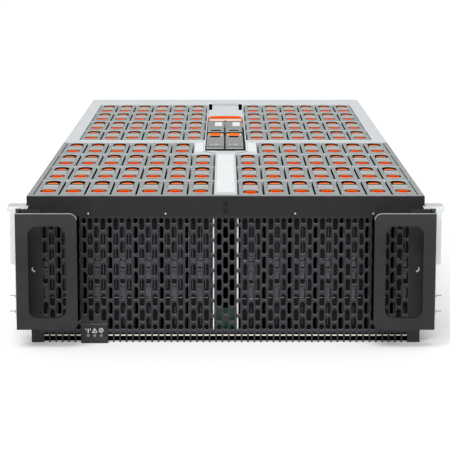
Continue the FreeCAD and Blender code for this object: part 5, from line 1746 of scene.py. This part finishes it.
# ---- carried-over CAD nodes ----------------------------------------------------------------
@dataclass
class CarriedOver:
    """CAD pieces whose shape stays, each with its finish and a small softened edge."""

    edge: float = mm(0.4)
    fine_edge: float = mm(0.15)
    finishes: dict[str, Finish] = field(default_factory=lambda: {
        "base_pan": PAN_SHEET, "rear_frame": PAN_SHEET, "mid_crossbar": BRIGHT_SHEET,
        "rear_side_strips": BRIGHT_SHEET, "rear_top_cover": BRIGHT_SHEET,
        "center_channel": BRIGHT_SHEET,
        "expander_bay": EDGE_WHITE, "filler_plates": BRIGHT_SHEET,
        "inner_rails": RAIL_ZINC, "right_rail": RAIL_ZINC, "left_rail": RAIL_ZINC,
        "right_handle": HANDLE_COAT, "left_handle": HANDLE_COAT, "indicator_panel": BLACK_PLASTIC,
        "indicator_lights": LIGHT_PIPE, "front_backplane": SOLDER_MASK,
        "rear_backplane": SOLDER_MASK,
        "drive_a": DRIVE_CASTING, "drive_b": DRIVE_CASTING, "panel_screws": SCREW_ZINC,
        "power_supply_1": MODULE_SHEET, "power_supply_2": MODULE_SHEET,
        "io_module_1": MODULE_SHEET, "io_module_2": MODULE_SHEET,
        "io_lever_1": RELEASE_ORANGE, "io_lever_2": RELEASE_ORANGE,
    })

    def build(self, nodes: dict[str, bpy.types.Object]) -> None:
        """Gives each CAD piece its finish.

        Args:
            nodes: the frame's CAD objects by name.
        """
        for index in range(1, 5):
            self.finishes[f"fan_housing_{index}"] = BLACK_PLASTIC
            self.finishes[f"fan_rotor_{index}"] = BLACK_PLASTIC
        for name, piece in nodes.items():
            if piece.hide_render:
                continue
            for slot in piece.material_slots:
                slot.material = SHOP.get(self.finishes[name])
            piece.modifiers.new("joined", "WELD").merge_threshold = mm(0.005)
            soften(piece, self.fine_edge if name == "expander_bay" else self.edge)
            LOG.info("CAD piece %s in %s", name, self.finishes[name].name)


# ---- studio --------------------------------------------------------------------------------
@dataclass
class Studio:
    """Floor, light and camera."""

    eye: tuple[float, float, float] = (mm(-0.7), mm(-2530.5), mm(483.0))
    pitch: float = 9.83
    lens: float = 144.9
    sky: float = 0.50
    sun: float = 2.7
    sun_spread: float = 50.0
    sun_tilt: tuple[float, float] = (44.0, -12.0)
    floor_half: float = 14.0

    def build(self) -> None:
        """Sets up the floor, the lamp, the world and the camera."""
        self.floor()
        self.world()
        self.lamp()
        self.camera()
        bpy.context.scene.view_settings.view_transform = "Standard"

    def floor(self) -> None:
        """Lays a large white floor that keeps the shelf's shadow."""
        data = bpy.data.meshes.new("floor")
        corners = ((-1, -1), (1, -1), (1, 1), (-1, 1))
        data.from_pydata([(x * self.floor_half, y * self.floor_half, 0) for x, y in corners],
                         [], [(0, 1, 2, 3)])
        floor = bpy.data.objects.new("floor", data)
        bpy.context.collection.objects.link(floor)
        material = bpy.data.materials.new("studio_floor_white")
        material.use_nodes = True
        tree = material.node_tree
        tree.nodes.clear()
        out = SHOP.add(tree, "ShaderNodeOutputMaterial")
        paint = SHOP.add(tree, "ShaderNodeBsdfPrincipled", {
            "Base Color": linear("#FFFFFF"), "Roughness": 1.0, "Specular IOR Level": 0.0})
        tree.links.new(paint.outputs["BSDF"], out.inputs["Surface"])
        data.materials.append(material)

    def world(self) -> None:
        """White surroundings for the camera and for reflections, at a plain level for light."""
        world = bpy.data.worlds.new("studio")
        bpy.context.scene.world = world
        world.use_nodes = True
        tree = world.node_tree
        tree.nodes.clear()
        out = SHOP.add(tree, "ShaderNodeOutputWorld")
        ray = SHOP.add(tree, "ShaderNodeLightPath")
        light, white = (
            SHOP.add(tree, "ShaderNodeBackground", {"Color": linear("#FFFFFF"), "Strength": level})
            for level in (self.sky, 1.0))
        mix = SHOP.add(tree, "ShaderNodeMixShader", {
            0: ray.outputs["Is Camera Ray"], 1: light.outputs["Background"],
            2: white.outputs["Background"]})
        tree.links.new(mix.outputs["Shader"], out.inputs["Surface"])

    def lamp(self) -> None:
        """Hangs one broad, even key light in front of and over the shelf."""
        data = bpy.data.lights.new("key_light", "SUN")
        data.energy = self.sun
        data.angle = math.radians(self.sun_spread)
        lamp = bpy.data.objects.new("key_light", data)
        lamp.rotation_euler = (*(math.radians(turn) for turn in self.sun_tilt), 0.0)
        bpy.context.collection.objects.link(lamp)

    def camera(self) -> None:
        """Puts the camera in front of the shelf and a little above it."""
        data = bpy.data.cameras.new("camera")
        data.lens = self.lens
        data.sensor_width = 36.0
        camera = bpy.data.objects.new("camera", data)
        camera.location = self.eye
        camera.rotation_euler = (math.radians(90.0 - self.pitch), 0.0, 0.0)
        bpy.context.collection.objects.link(camera)
        bpy.context.scene.camera = camera


def main() -> None:
    """Builds the looks of the shelf, class by class, and keeps its sizes."""
    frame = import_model()
    for assembly in (CarrierField(), FrontPanel(), IndicatorMarks(), HandleTrim(), RailFronts(),
                     CenterBay(), Dividers(), FanGuards()):
        assembly.build()
    CarriedOver().build(frame["nodes"])
    Studio().build()


if __name__ == "__main__":
    logging.basicConfig(level=logging.INFO)
    main()
